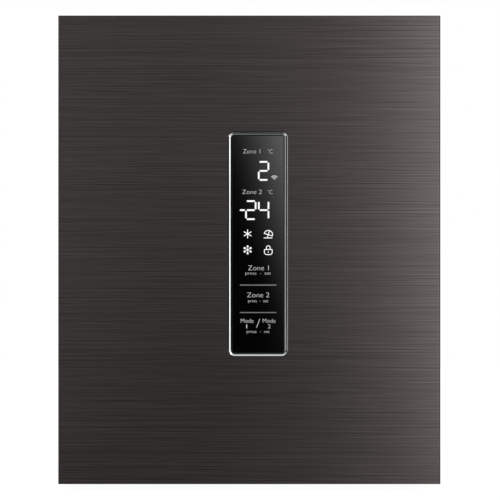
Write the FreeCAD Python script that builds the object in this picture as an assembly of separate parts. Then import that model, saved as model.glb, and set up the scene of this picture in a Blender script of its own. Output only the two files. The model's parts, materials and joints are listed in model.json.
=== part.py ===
import FreeCAD
import Part
import math
import os
from FreeCAD import Vector

# A compact refrigerator with one door, a freezer box and a touch display in the door.
# Millimetres. +X is the viewer's right, -Y the front, +Z up. The floor is z = 0.

# Overall size
WIDTH = 450.0               # door front, across
HEIGHT = 560.0              # floor to the top of the door front
DEPTH = 520.0               # display frame to wall spacers
DOOR_FLOOR_GAP = 9.0        # floor to the lower edge of the door front

# Cabinet
DOOR_OVERHANG = 2.0         # door edge past the cabinet side
CABINET_LIFT = 24.0         # floor to the base pan
CABINET_DROP = 12.0         # door top to cabinet top
REAR_SPACE = 45.0           # rear panel to the ends of the wall spacers
SHEET = 1.0                 # steel sheet of cabinet and door
SHELL_CORNER = 8.0
FRONT_FLANGE = 20.0         # steel flange around the liner's lip
PAN_SHEET = 1.5
PAN_LIP = 12.0
WALL_SIDE = 36.0            # insulated walls, steel to liner
WALL_TOP = 41.0
WALL_BASE = 45.0
WALL_BACK = 47.0
WALL_STEP = 45.0
BAY_DEPTH = 143.0           # compressor bay under the step
BAY_HEIGHT = 148.0
LINER = 1.5
LINER_BEND = 16.0           # corners seen from the side
LINER_EDGE = 12.0           # corners along the side walls
VENT_SLOTS = 7
VENT_PITCH = 14.0
VENT_SIZE = (6.0, 34.0)
ROUND_SPARE = 0.1           # straight left over between two full-round ends
INNER_ROUND = 1.0           # smallest inside corner of a ring
TOUCH = 1e-4                # points closer than this are one point

# Door
DOOR_THICK = 50.5           # steel face to liner rim
SKIN_BEND = 2.5
CAP_DECK = 6.0
CAP_ROUND = 5.0
CAP_SETBACK = 1.0           # door caps end this far inside the steel front
POCKET_WIDTH = 33.0         # hinge pockets in the caps
DIKE_DEPTH = 58.0           # raised ring of the door liner
DIKE_WIDTH = 26.0
DIKE_CLEAR_X = 11.0         # ring to cabinet liner
DIKE_CLEAR_Z = 9.0
DIKE_ROUND = 8.0
DIKE_CORNER = 20.0
GRIP_LENGTH = 190.0
GRIP_WIDTH = 30.0
GRIP_DEPTH = 23.0
GRIP_WALL = 2.0
GRIP_HEIGHT = 291.0         # floor to the middle of the side grip
GASKET_WIDTH = 14.0
GASKET_HEIGHT = 9.7
GASKET_INSET = 13.0         # door edge to gasket
GASKET_FOOT = 2.2
GASKET_HEAD = 3.6
GASKET_NECK = 3.0           # how far the fold draws in
GASKET_CORNER = 12.0
GASKET_GAP = 0.3

# Hinges
HINGE_INSET = 14.0          # door edge to hinge axis
HINGE_BACKSET = 24.5        # steel face to hinge axis
HINGE_GAP = 2.0             # bracket to door pocket
BRACKET = 3.0
BRACKET_REACH = 62.0        # onto the cabinet
BRACKET_WIDTH = 46.0
ARM_RADIUS = 11.5
PIN_RADIUS = 4.0
PIN_LENGTH = 15.0
PIN_FIT = 0.06
BUSH_WALL = 3.0
BUSH_FLANGE = 2.4
BUSH_PLAY = 0.15            # bush flange to bracket
BOSS_WALL = 4.0
SCREW_RADIUS = 2.4
SCREW_HEAD = 4.6
SCREW_HEAD_HEIGHT = 2.6
SCREW_LENGTH = 14.0
COVER_WALL = 1.5
COVER_HEIGHT = 9.5
COVER_GAP = 1.0
COVER_ROUND = 5.0
RECESS_WIDTH = 0.9          # cross recess in the screw heads
RECESS_LENGTH = 4.4
RECESS_DEPTH = 1.4
PANEL_SCREW = 2.0
PANEL_SCREW_HEAD = 4.2
PANEL_SCREW_LENGTH = 12.0
PANEL_SCREW_INSET = 9.0     # rear panel's edge to its screws

# Display
STRIP_X = 10.4              # middle of the display from the door's middle line
STRIP_Z = 291.3
STRIP_WIDTH = 70.0
STRIP_HEIGHT = 264.6
STRIP_CORNER = 7.5
FRAME_BAND = 3.5
FRAME_PROUD = 1.5
FRAME_BEVEL = 1.0           # outer edge of the frame
FRAME_DROP = 1.0            # fall of the frame's face towards the glass
FRAME_LAND = 0.15           # flat left at the crest and at the inner edge
GLASS_SINK = 1.1            # glass below the frame's crest
GLASS_THICK = 3.0
GLASS_EDGE = 1.2            # ground edge of the glass
GLASS_FIT = 0.15
TUB_DEPTH = 17.0
TUB_WALL = 1.5
BOARD_THICK = 1.6
BOARD_MARGIN = 4.0
BOARD_BEHIND = 5.0          # glass to circuit board
POST_RADIUS = 2.5
CHIP_SIZE = (12.0, 2.0, 12.0)
DIGIT_SIZE = (30.0, 4.0, 26.0)

# Freezer box
EVAP_SIDE_GAP = 8.0
EVAP_TOP_GAP = 8.0
EVAP_BACK_GAP = 13.0
EVAP_HEIGHT = 98.0
EVAP_FRONT_BACKSET = 115.0  # cabinet front to the freezer box
EVAP_SHEET = 1.5
EVAP_CORNER = 10.0
CHANNEL_RADIUS = 2.8
CHANNEL_PITCH = 40.0
CHANNEL_MARGIN = 36.0
HANGER_RADIUS = 7.0
FRAME_LIP = 5.0
FRAME_FRONT = 12.0
FRAME_BACK = 2.0
FRAME_FIT = 0.1
FLAP_THICK = 13.5
FLAP_GAP = 0.6
FLAP_END_GAP = 0.6
FLAP_PIN = 2.5
FLAP_PIN_LENGTH = 5.0
EAR_WIDTH = 6.0
EAR_ROUND = 6.5
PULL_LENGTH = 90.0
PULL_RADIUS = 9.0
PULL_SINK = 5.0

# Drip tray under the freezer box
TRAY_BELOW = 11.0           # freezer box to tray rim
TRAY_HEIGHT = 20.0
TRAY_WALL = 1.6
TRAY_FLANGE = 12.0
TRAY_CORNER = 9.0
TRAY_SIDE_GAP = 4.5
TRAY_FRONT_BACKSET = 4.0
TRAY_BACK_GAP = 20.0
RAIL_LEDGE = 13.0
RAIL_THICK = 3.5
RAIL_RISE = 10.0
SLIDE_GAP = 0.3

# Glass shelf and crisper
SHELF_LIFT = 20.0           # step top to shelf underside
SHELF_GLASS = 4.0
SHELF_SIDE_GAP = 4.0
SHELF_BACK_GAP = 8.0
SHELF_FRONT_BACKSET = 86.0  # cabinet front to shelf front
SHELF_CORNER = 5.0
TRIM_WALL = 2.5
TRIM_DEPTH = 14.0
TRIM_STOP = 9.0
RIB_DEPTH = 8.0
RIB_HEIGHT = 6.0
CRISPER_GAP_X = 9.0
CRISPER_GAP_BACK = 6.0
CRISPER_GAP_TOP = 9.0
CRISPER_FRONT_BACKSET = 92.0
CRISPER_TAPER = 9.0
CRISPER_WALL = 2.4
CRISPER_CORNER = 14.0
CRISPER_HANDLE = 9.0
HANDLE_HEIGHT = 18.0

# Door bins
BIN_SIDE_GAP = 1.2
BIN_BACK_GAP = 0.6
BIN_DEPTH = 76.0
BIN_WALL = 2.2
BIN_CORNER = 4.7
BIN_BEAD = 2.2              # half-round bead along the front rim
BEAD_INSET = 9.4            # bin end to bead end
BIN_TAPER = 6.0
UPPER_BIN_Z = 300.0
UPPER_BIN_HEIGHT = 62.0
LOWER_BIN_Z = 112.0
LOWER_BIN_HEIGHT = 92.0
LUG_REACH = 4.0
LUG_DEPTH = 12.0
LUG_HEIGHT = 16.0
LUG_BACKSET = 22.0          # liner to lug
LUG_RISE = 24.0             # bin floor to lug top
LUG_FIT = 0.3

# Lamp, sensor and drain
LAMP_SIZE = (64.0, 36.0)
LAMP_RISE = 11.0
LAMP_WALL = 1.4
LAMP_BACKSET = 168.0        # cabinet front to the lamp's middle
LAMP_BOARD = 1.2
SENSOR_SIZE = (56.0, 46.0)
SENSOR_RISE = 11.0
SENSOR_WALL = 1.6
SENSOR_SIDE = 95.0          # liner's side wall to the cover's middle
SENSOR_ABOVE = 59.0         # shelf to the cover's middle
SENSOR_SLOTS = 5
DRAIN_RADIUS = 6.0
DRAIN_WALL = 1.2
DRAIN_BACK_GAP = 17.0       # liner's rear wall to drain
DRAIN_DROP = 5.0            # tube end below the bay's roof

# Cooling set
COMPRESSOR_SIDE = 128.0     # cabinet side to the compressor's middle
COMPRESSOR_RADIUS = 57.0
COMPRESSOR_HEIGHT = 108.0
COMPRESSOR_SEAM = 4.0
COMPRESSOR_SEAM_HEIGHT = 5.0
SEAM_ROUND = 1.0
DOME_ROUND = 26.0
PLATE_SHEET = 2.5
PLATE_LENGTH = 156.0
PLATE_WIDTH = 112.0
PLATE_CORNER = 12.0
PLATE_INSET = 14.0          # plate edge to grommet
GROMMET_RADIUS = 9.5
GROMMET_HEIGHT = 8.0
GROMMET_NECK = 6.0
GROMMET_CAP = 3.0
GROMMET_TAPER = 1.0
BOLT_RADIUS = 3.0
BOLT_HEAD = 6.0
BOLT_HEAD_HEIGHT = 4.0
STUB_RADIUS = 4.2
STUB_LENGTH = 16.0
TERMINAL_WIDTH = 46.0
TERMINAL_HEIGHT = 44.0
TERMINAL_REACH = 20.0
TERMINAL_Z = 62.0           # middle above the compressor's foot
PAN_DISH_LENGTH = 128.0
PAN_DISH_WIDTH = 92.0
PAN_DISH_HEIGHT = 15.0
PAN_DISH_WALL = 1.6
PAN_DISH_CORNER = 16.0
LINE_RADIUS = 3.0
LINE_BEND = 18.0
EXIT_BEND = 9.0             # suction line where it leaves the rear wall
SUCTION_SIDE = 111.0        # cabinet side to suction line
SUCTION_Z = 78.0            # above the compressor's foot
SUCTION_BEHIND = 11.0       # rear panel to suction line
DISCHARGE_Z = 34.0
DISCHARGE_SIDE = 30.0       # off the compressor's middle
CAPILLARY_RADIUS = 1.2
CAPILLARY_BEND = 8.0
CAPILLARY_SIDE = 127.0      # cabinet side to capillary's hole
CAPILLARY_RISE = 16.0       # bay roof to capillary's hole
CONDENSER_BEHIND = 25.0     # rear panel to tube middle
CONDENSER_SIDE = 47.0       # cabinet side to the bends' start
CONDENSER_LOW = 36.0        # bay roof to lowest run
CONDENSER_TOP = 38.0        # cabinet top to the highest run, at least
CONDENSER_PITCH = 30.0
CONDENSER_TUBE = 2.5
CONDENSER_FEED = 26.0       # bends to the feed pipes at the sides
WIRE_RADIUS = 0.8
WIRE_PITCH = 13.0
WIRE_MARGIN = 7.0           # outermost wires to the bends' start
WIRE_OVERHANG = 7.0
WIRE_GAP = 0.05
CLIP_SHEET = 1.5
CLIP_HALF = 9.0
CLIP_FOOT = 16.0
CLIP_WIRES = 1.5            # wire pitches outside each clip
DRIER_RADIUS = 9.0
DRIER_LENGTH = 74.0
DRIER_NECK = 10.0
FEED_DROP = 20.0            # bay roof to the ends of the feed pipes

# Control box in the bay
BOX_SIDE = 36.0             # base pan's end to the box
BOX_LENGTH = 112.0
BOX_WIDTH = 66.0
BOX_HEIGHT = 66.0
BOX_LID = 8.0
BOX_LID_LIP = 2.0
BOX_CORNER = 6.0
BOX_GAP = 12.0              # bay wall to box
GLAND_RADIUS = 9.0
GLAND_LENGTH = 13.0
GLAND_BORE = 3.6
GLAND_NOSE = 6.8
GLAND_TIP = 5.4
GLAND_HEIGHT = 22.0

# Feet and wall spacers
FOOT_SIDE = 41.0            # cabinet side to levelling feet
FOOT_BACKSET = 84.0         # cabinet front to levelling feet
FOOT_PAD = 17.0
FOOT_PAD_HEIGHT = 9.0
FOOT_CHAMFER = 2.0
FOOT_HUB = 10.0
FOOT_STOP_GAP = 0.3
FOOT_STEM = 4.0
FOOT_STEM_LENGTH = 20.0
INSERT_WALL = 3.0
INSERT_LENGTH = 24.0
STEM_FIT = 0.06
REAR_FOOT_RADIUS = 15.0
REAR_FOOT_SIDE = 33.0
REAR_FOOT_CHAMFER = 2.0
REAR_FOOT_INSET = 22.0      # cabinet back to rear feet
SPACER_SIDE = 27.0
SPACER_RADIUS = 12.0
SPACER_ROOT = 9.6
SPACER_TIP = 7.0
SPACER_FLANGE = 3.0
SPACER_DROP = 20.0          # cabinet top to wall spacers

# Planes and axes that several pieces share
face_y = -DEPTH / 2 + FRAME_PROUD
door_back_y = face_y + DOOR_THICK
front_y = door_back_y + GASKET_HEIGHT + GASKET_GAP
back_y = DEPTH / 2 - REAR_SPACE
half_width = WIDTH / 2 - DOOR_OVERHANG
cabinet_low = CABINET_LIFT
cabinet_top = HEIGHT - CABINET_DROP
pan_top = cabinet_low + PAN_SHEET
cavity_x = half_width - WALL_SIDE
cavity_low = cabinet_low + WALL_BASE
cavity_top = cabinet_top - WALL_TOP
cavity_back = back_y - WALL_BACK
bay_y = back_y - BAY_DEPTH
bay_top = cabinet_low + BAY_HEIGHT
step_y = bay_y - WALL_STEP
step_top = bay_top + WALL_STEP
hinge_x = WIDTH / 2 - HINGE_INSET
hinge_y = face_y + HINGE_BACKSET
plate_right = half_width - SHELL_CORNER - COVER_WALL - COVER_GAP
plate_root = front_y + COVER_WALL + 2 * COVER_GAP
pocket_low = cabinet_low + HINGE_GAP
pocket_top = cabinet_top - HINGE_GAP
deck_low = pocket_low + CAP_DECK
deck_top = pocket_top - CAP_DECK
pocket_x = hinge_x + HINGE_INSET - POCKET_WIDTH
evap_x = cavity_x - EVAP_SIDE_GAP
evap_top = cavity_top - EVAP_TOP_GAP
evap_low = evap_top - EVAP_HEIGHT
evap_back = cavity_back - EVAP_BACK_GAP
evap_front = front_y + EVAP_FRONT_BACKSET
evap_depth = evap_back - evap_front
channel_runs = 2 * int((evap_depth / 2 - CHANNEL_MARGIN) / CHANNEL_PITCH) + 1
frame_front = evap_front - FRAME_FRONT
flap_y = frame_front - FLAP_GAP - FLAP_THICK / 2
flap_z = evap_low + FLAP_THICK / 2
flap_x = evap_x - EAR_WIDTH / 2 - FLAP_END_GAP
tray_top = evap_low - TRAY_BELOW
tray_x = cavity_x - TRAY_SIDE_GAP
ledge_z = tray_top - TRAY_WALL - SLIDE_GAP
shelf_z = step_top + SHELF_LIFT
shelf_front = front_y + SHELF_FRONT_BACKSET
shelf_back = cavity_back - SHELF_BACK_GAP
shelf_x = cavity_x - SHELF_SIDE_GAP
dike_x = cavity_x - DIKE_CLEAR_X
dike_low = cavity_low + DIKE_CLEAR_Z
dike_top = cavity_top - DIKE_CLEAR_Z
bin_x = dike_x - DIKE_WIDTH - BIN_SIDE_GAP
bin_back = door_back_y + BIN_BACK_GAP
lamp_y = front_y + LAMP_BACKSET
lamp_z = (shelf_z + SHELF_GLASS + tray_top - TRAY_HEIGHT) / 2
spare_rib_z = (shelf_z + SHELF_GLASS + lamp_z - LAMP_SIZE[1] / 2) / 2
sensor_x = SENSOR_SIDE - cavity_x
sensor_z = shelf_z + SENSOR_ABOVE
compressor_x = COMPRESSOR_SIDE - half_width
compressor_y = bay_y + BAY_DEPTH / 2
plate_low = pan_top + GROMMET_HEIGHT
compressor_low = plate_low + PLATE_SHEET
compressor_top = compressor_low + COMPRESSOR_HEIGHT
condenser_y = back_y + CONDENSER_BEHIND
condenser_half = half_width - CONDENSER_SIDE
condenser_low = bay_top + CONDENSER_LOW
condenser_runs = 2 * int((cabinet_top - CONDENSER_TOP - condenser_low) / (2 * CONDENSER_PITCH)) + 1
condenser_high = condenser_low + (condenser_runs - 1) * CONDENSER_PITCH
wire_count = 2 * int((condenser_half - WIRE_MARGIN) / WIRE_PITCH) + 1
clip_x = ((wire_count - 1) / 2 - CLIP_WIRES) * WIRE_PITCH
suction_x = half_width - SUCTION_SIDE
capillary_x = CAPILLARY_SIDE - half_width
feed_x = condenser_half + CONDENSER_FEED
feed_low = bay_top - FEED_DROP
suction_z = compressor_low + SUCTION_Z
foot_x = half_width - FOOT_SIDE
foot_y = front_y + FOOT_BACKSET
rear_foot_x = half_width - REAR_FOOT_SIDE
spacer_x = half_width - SPACER_SIDE
box_x1 = half_width - SHEET - BOX_SIDE
box_x0 = box_x1 - BOX_LENGTH


def rounded_path(points, radius, closed=False):
    """Straight runs joined by tangent arcs. The radius is one value or one for each point."""
    corners = [Vector(*p) for p in points]
    count = len(corners)
    radii = list(radius) if isinstance(radius, (list, tuple)) else [radius] * count
    if not closed:
        radii[0] = radii[-1] = 0.0
    bends = []
    for i, corner in enumerate(corners):
        if radii[i] <= 0.0:
            bends.append((corner, None, corner))
            continue
        back = (corners[i - 1] - corner).normalize()
        ahead = (corners[(i + 1) % count] - corner).normalize()
        half = back.getAngle(ahead) / 2
        setback = radii[i] / math.tan(half)
        inwards = (back + ahead).normalize()
        middle = corner + inwards * (radii[i] / math.sin(half) - radii[i])
        bends.append((corner + back * setback, middle, corner + ahead * setback))
    edges = []
    for i, (start, middle, end) in enumerate(bends):
        if middle is not None:
            edges.append(Part.Arc(start, middle, end).toShape())
        if i + 1 < count or closed:
            following = bends[(i + 1) % count][0]
            if (following - end).Length > TOUCH:
                edges.append(Part.LineSegment(end, following).toShape())
    return Part.Wire(edges)


def prism(points, radius, direction):
    """A closed outline with rounded corners, extruded."""
    return Part.Face(rounded_path(points, radius, closed=True)).extrude(Vector(*direction))


def box(x0, x1, y0, y1, z0, z1):
    return Part.makeBox(x1 - x0, y1 - y0, z1 - z0, Vector(x0, y0, z0))


def slab_x(x0, x1, y0, y1, z0, z1, radius):
    """A block whose outline, seen along X, has rounded corners."""
    outline = [(x0, y0, z0), (x0, y1, z0), (x0, y1, z1), (x0, y0, z1)]
    return prism(outline, radius, (x1 - x0, 0, 0))


def slab_y(x0, x1, y0, y1, z0, z1, radius):
    """A block whose outline, seen along Y, has rounded corners."""
    outline = [(x0, y0, z0), (x1, y0, z0), (x1, y0, z1), (x0, y0, z1)]
    return prism(outline, radius, (0, y1 - y0, 0))


def slab_z(x0, x1, y0, y1, z0, z1, radius):
    """A block whose outline, seen from above, has rounded corners."""
    outline = [(x0, y0, z0), (x1, y0, z0), (x1, y1, z0), (x0, y1, z0)]
    return prism(outline, radius, (0, 0, z1 - z0))


def ring_y(x_half, z0, z1, corner, band, y0, y1):
    """A rounded rectangular ring that lies flat against a door or cabinet face."""
    outer = slab_y(-x_half, x_half, y0, y1, z0, z1, corner)
    inner_corner = max(corner - band, INNER_ROUND)
    inner = slab_y(-x_half + band, x_half - band, y0, y1, z0 + band, z1 - band, inner_corner)
    return outer.cut(inner)


def rod(radius, start, end):
    base = Vector(*start)
    along = Vector(*end) - base
    return Part.makeCylinder(radius, along.Length, base, along)


def revolve(profile, x, y):
    """Turns a profile of (radius, z) points about the vertical through x, y."""
    outline = Part.makePolygon([Vector(x + r, y, z) for r, z in profile + profile[:1]])
    return Part.Face(outline).revolve(Vector(x, y, 0), Vector(0, 0, 1), 360)


def tube(points, bend, radius):
    """A round bar along straight runs and tangent arcs, checked against section times length."""
    path = rounded_path(points, bend)
    start = Vector(*points[0])
    section = Part.Wire(Part.makeCircle(radius, start, Vector(*points[1]) - start))
    solid = path.makePipeShell([section], True, False)
    expected = math.pi * radius ** 2 * path.Length
    print("tube volume over section times length: %.4f" % (solid.Volume / expected))
    return solid


def cross_recess(crown, inwards):
    """The cross that a screwdriver fits, sunk from the crown of a screw head."""
    half = RECESS_WIDTH / 2
    reach = RECESS_LENGTH / 2
    upright = box(-half, half, -reach, reach, 0, RECESS_DEPTH)
    cross = upright.fuse(box(-reach, reach, -half, half, 0, RECESS_DEPTH))
    cross.Placement = FreeCAD.Placement(crown, FreeCAD.Rotation(Vector(0, 0, 1), inwards))
    return cross


def tapered_block(low, high, radius):
    """A loft between two rounded rectangles, each given as (x0, x1, y0, y1, z)."""
    wires = []
    for x0, x1, y0, y1, z in (low, high):
        corners = [(x0, y0, z), (x1, y0, z), (x1, y1, z), (x0, y1, z)]
        wires.append(rounded_path(corners, radius, closed=True))
    return Part.makeLoft(wires, True, True)


def open_tub(low, high, radius, wall):
    """A tapered tub, open at the top, with walls and a floor of one thickness."""
    x0, x1, y0, y1, z = low
    inner_low = (x0 + wall, x1 - wall, y0 + wall, y1 - wall, z + wall)
    x0, x1, y0, y1, z = high
    inner_high = (x0 + wall, x1 - wall, y0 + wall, y1 - wall, z + wall)
    return tapered_block(low, high, radius).cut(tapered_block(inner_low, inner_high, radius - wall))


def soften(shape, radius, chosen):
    """Fillets the edges whose middle point the test picks."""
    edges = [e for e in shape.Edges if chosen(e.valueAt((e.FirstParameter + e.LastParameter) / 2))]
    return shape.makeFillet(radius, edges)


def mirrored(shape):
    return shape.mirror(Vector(0, 0, 0), Vector(1, 0, 0))


def near(a, b):
    return abs(a - b) < TOUCH


# Cabinet


def cabinet_block(inset, y0, y1, low):
    """The cabinet's outside, drawn in by an inset, with rounded upper corners."""
    x = half_width - inset
    top = cabinet_top - inset
    corner = SHELL_CORNER - inset
    outline = [(-x, y0, low), (x, y0, low), (x, y0, top), (-x, y0, top)]
    return prism(outline, [0, 0, corner, corner], (0, y1 - y0, 0))


def lip_block(thick):
    """The block that the liner's lip fills behind the steel front flange."""
    x = half_width - FRONT_FLANGE
    low = cabinet_low + FRONT_FLANGE
    return slab_y(-x, x, front_y, front_y + thick, low, cabinet_top - FRONT_FLANGE, LINER_EDGE)


def cavity(grow, start):
    """The cold space with its step over the compressor, grown outwards all round."""
    low = cavity_low - grow
    top = cavity_top + grow
    back = cavity_back + grow
    x = cavity_x + grow
    outline = [(-x, start, low), (-x, step_y + grow, low), (-x, step_y + grow, step_top - grow),
               (-x, back, step_top - grow), (-x, back, top), (-x, start, top)]
    convex = LINER_BEND + grow
    solid = prism(outline, [0, convex, LINER_BEND - grow, convex, convex, 0], (2 * x, 0, 0))
    return soften(solid, LINER_EDGE + grow, lambda p: near(abs(p.x), x) and p.y > start + TOUCH)


def bracket_screw_places():
    """Hinge screw positions on the cabinet, the same on the top and bottom brackets."""
    x = plate_right - BRACKET_WIDTH / 2
    spread = BRACKET_WIDTH / 2 - 3 * SCREW_RADIUS
    y = front_y + BRACKET_REACH / 2
    return [(x - spread, y), (x + spread, y)]


def hinge_screw_shanks(radius):
    shanks = []
    top = cabinet_top + BRACKET
    low = cabinet_low - BRACKET
    for x, y in bracket_screw_places():
        shanks.append(rod(radius, (x, y, top), (x, y, top - SCREW_LENGTH)))
        shanks.append(rod(radius, (x, y, low), (x, y, low + SCREW_LENGTH)))
    return shanks


def panel_screw_seats():
    """Seats of the screws on the rear: through the condenser clips, and into the rear panel's edges."""
    seats = [(x + (CLIP_SHEET + CLIP_FOOT) / 2, back_y + CLIP_SHEET, z) for x, z in clip_places()]
    x = half_width - SHEET - PANEL_SCREW_INSET
    for z in (bay_top + PANEL_SCREW_INSET, (bay_top + cabinet_top) / 2):
        seats += [(-x, back_y, z), (x, back_y, z)]
    seats.append((0.0, back_y, cabinet_top - SHEET - PANEL_SCREW_INSET))
    return seats


def panel_screw_shanks():
    return [rod(PANEL_SCREW, (x, y, z), (x, y - PANEL_SCREW_LENGTH, z)) for x, y, z in panel_screw_seats()]


def foot_inserts():
    tubes = []
    radius = FOOT_STEM + STEM_FIT
    for x in (-foot_x, foot_x):
        start = (x, foot_y, cabinet_low)
        end = (x, foot_y, cabinet_low + INSERT_LENGTH)
        tubes.append(rod(radius + INSERT_WALL, start, end).cut(rod(radius, start, end)))
    return Part.makeCompound(tubes)


def insert_blanks():
    outer = FOOT_STEM + STEM_FIT + INSERT_WALL
    return [rod(outer, (x, foot_y, cabinet_low), (x, foot_y, cabinet_low + INSERT_LENGTH))
            for x in (-foot_x, foot_x)]


def drain_place():
    return compressor_x, cavity_back - DRAIN_BACK_GAP


def drain_blank():
    x, y = drain_place()
    return rod(DRAIN_RADIUS, (x, y, bay_top - DRAIN_DROP), (x, y, step_top))


def suction_points():
    behind = back_y + SUCTION_BEHIND
    stub_end = compressor_x + COMPRESSOR_RADIUS + STUB_LENGTH
    level = evap_low + EVAP_SHEET / 2
    return [(suction_x, evap_back, level), (suction_x, behind, level), (suction_x, behind, suction_z),
            (suction_x, compressor_y, suction_z), (stub_end, compressor_y, suction_z)]


def capillary_points():
    behind = back_y + SUCTION_BEHIND
    drier_end = feed_low - DRIER_LENGTH
    turn = drier_end - 2 * CAPILLARY_BEND
    hole = bay_top + CAPILLARY_RISE
    inside = (back_y + cavity_back) / 2
    return [(-feed_x, condenser_y, drier_end), (-feed_x, condenser_y, turn),
            (-feed_x + CONDENSER_FEED, behind, turn), (-feed_x + CONDENSER_FEED, behind, hole),
            (capillary_x, behind, hole), (capillary_x, inside, hole)]


def wall_holes():
    """Where the pipes and the drain pass through the rear wall and the step."""
    level = evap_low + EVAP_SHEET / 2
    hole = bay_top + CAPILLARY_RISE
    inside = (back_y + cavity_back) / 2
    return [rod(LINE_RADIUS, (suction_x, cavity_back, level), (suction_x, back_y, level)),
            rod(CAPILLARY_RADIUS, (capillary_x, inside, hole), (capillary_x, back_y, hole)),
            drain_blank()]


def cabinet_shell():
    shell = cabinet_block(0, front_y, back_y, cabinet_low)
    shell = shell.cut(cabinet_block(SHEET, front_y + SHEET, back_y, cabinet_low))
    shell = shell.cut(lip_block(SHEET))
    return shell.cut(hinge_screw_shanks(SCREW_RADIUS))


def rear_panel():
    """One bent sheet: rear wall, roof of the compressor bay and front wall of the bay."""
    x = half_width - SHEET
    top = cabinet_top - SHEET
    outline = [(-x, bay_y - SHEET, pan_top), (-x, bay_y, pan_top), (-x, bay_y, bay_top),
               (-x, back_y, bay_top), (-x, back_y, top), (-x, back_y - SHEET, top),
               (-x, back_y - SHEET, bay_top + SHEET), (-x, bay_y - SHEET, bay_top + SHEET)]
    panel = prism(outline, 0, (2 * x, 0, 0))
    panel = panel.common(cabinet_block(SHEET, front_y, back_y, pan_top))
    return panel.cut(wall_holes() + panel_screw_shanks())


def pan_bolt_places():
    x = PLATE_LENGTH / 2 - PLATE_INSET
    y = PLATE_WIDTH / 2 - PLATE_INSET
    return [(compressor_x + sx * x, compressor_y + sy * y) for sx in (-1, 1) for sy in (-1, 1)]


def base_pan():
    x = half_width - SHEET
    outline = [(-x, front_y + SHEET, cabinet_low), (-x, back_y, cabinet_low), (-x, back_y, pan_top + PAN_LIP),
               (-x, back_y - PAN_SHEET, pan_top + PAN_LIP), (-x, back_y - PAN_SHEET, pan_top),
               (-x, front_y + SHEET, pan_top)]
    pan = prism(outline, 0, (2 * x, 0, 0))
    slot_x, slot_y = VENT_SIZE
    start = box_x0 - VENT_SLOTS * VENT_PITCH
    for i in range(VENT_SLOTS):
        left = start + i * VENT_PITCH
        slot = slab_z(left, left + slot_x, compressor_y - slot_y / 2, compressor_y + slot_y / 2,
                      cabinet_low, pan_top, slot_x / 2 - ROUND_SPARE)
        pan = pan.cut(slot)
    bolts = [rod(BOLT_RADIUS, (bx, by, cabinet_low), (bx, by, pan_top)) for bx, by in pan_bolt_places()]
    return pan.cut(bolts + insert_blanks() + hinge_screw_shanks(SCREW_RADIUS))


def cabinet_foam():
    x = half_width - SHEET
    low = pan_top
    top = cabinet_top - SHEET
    start = front_y + SHEET
    outline = [(-x, start, low), (-x, bay_y - SHEET, low), (-x, bay_y - SHEET, bay_top + SHEET),
               (-x, back_y - SHEET, bay_top + SHEET), (-x, back_y - SHEET, top), (-x, start, top)]
    foam = prism(outline, 0, (2 * x, 0, 0)).common(cabinet_block(SHEET, start, back_y, low))
    foam = foam.cut(cavity(LINER, front_y)).cut(lip_block(LINER))
    foam = foam.cut(wall_holes() + insert_blanks())
    return foam.cut(hinge_screw_shanks(SCREW_RADIUS) + panel_screw_shanks())


def cabinet_liner():
    liner = cavity(LINER, front_y).fuse(lip_block(LINER))
    liner = liner.cut(cavity(0, front_y))
    y0 = shelf_front + 2 * TRIM_DEPTH
    y1 = shelf_back - 2 * TRIM_DEPTH
    for level in (shelf_z, spare_rib_z):
        rib = slab_z(cavity_x - RIB_DEPTH, cavity_x + LINER / 2, y0, y1, level - RIB_HEIGHT, level,
                     RIB_DEPTH / 2)
        liner = liner.fuse([rib, mirrored(rib)])
    return liner.cut(wall_holes()).removeSplitter()


# Freezer box


def freezer_evaporator():
    """Folded roll-bond plate with its refrigerant channel standing out on both sides of the floor."""
    plate = slab_y(-evap_x, evap_x, evap_front, evap_back, evap_low, evap_top, EVAP_CORNER)
    plate = plate.cut(slab_y(-evap_x + EVAP_SHEET, evap_x - EVAP_SHEET, evap_front, evap_back - EVAP_SHEET,
                             evap_low + EVAP_SHEET, evap_top - EVAP_SHEET, EVAP_CORNER - EVAP_SHEET))
    level = evap_low + EVAP_SHEET / 2
    reach = evap_x - CHANNEL_MARGIN
    first = evap_back - CHANNEL_MARGIN - (channel_runs - 1) * CHANNEL_PITCH
    points = []
    for i in range(channel_runs):
        y = first + i * CHANNEL_PITCH
        side = 1 if i % 2 == 0 else -1
        points += [(-side * reach, y, level), (side * reach, y, level)]
    channel = tube(points, CHANNEL_PITCH / 2, CHANNEL_RADIUS)
    return plate.fuse(channel).removeSplitter()


def evaporator_hangers():
    reach = evap_x / 2
    third = evap_depth / 3
    places = [(x, y) for x in (-reach, reach) for y in (evap_front + third, evap_back - third)]
    return Part.makeCompound([rod(HANGER_RADIUS, (x, y, evap_top), (x, y, cavity_top)) for x, y in places])


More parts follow.
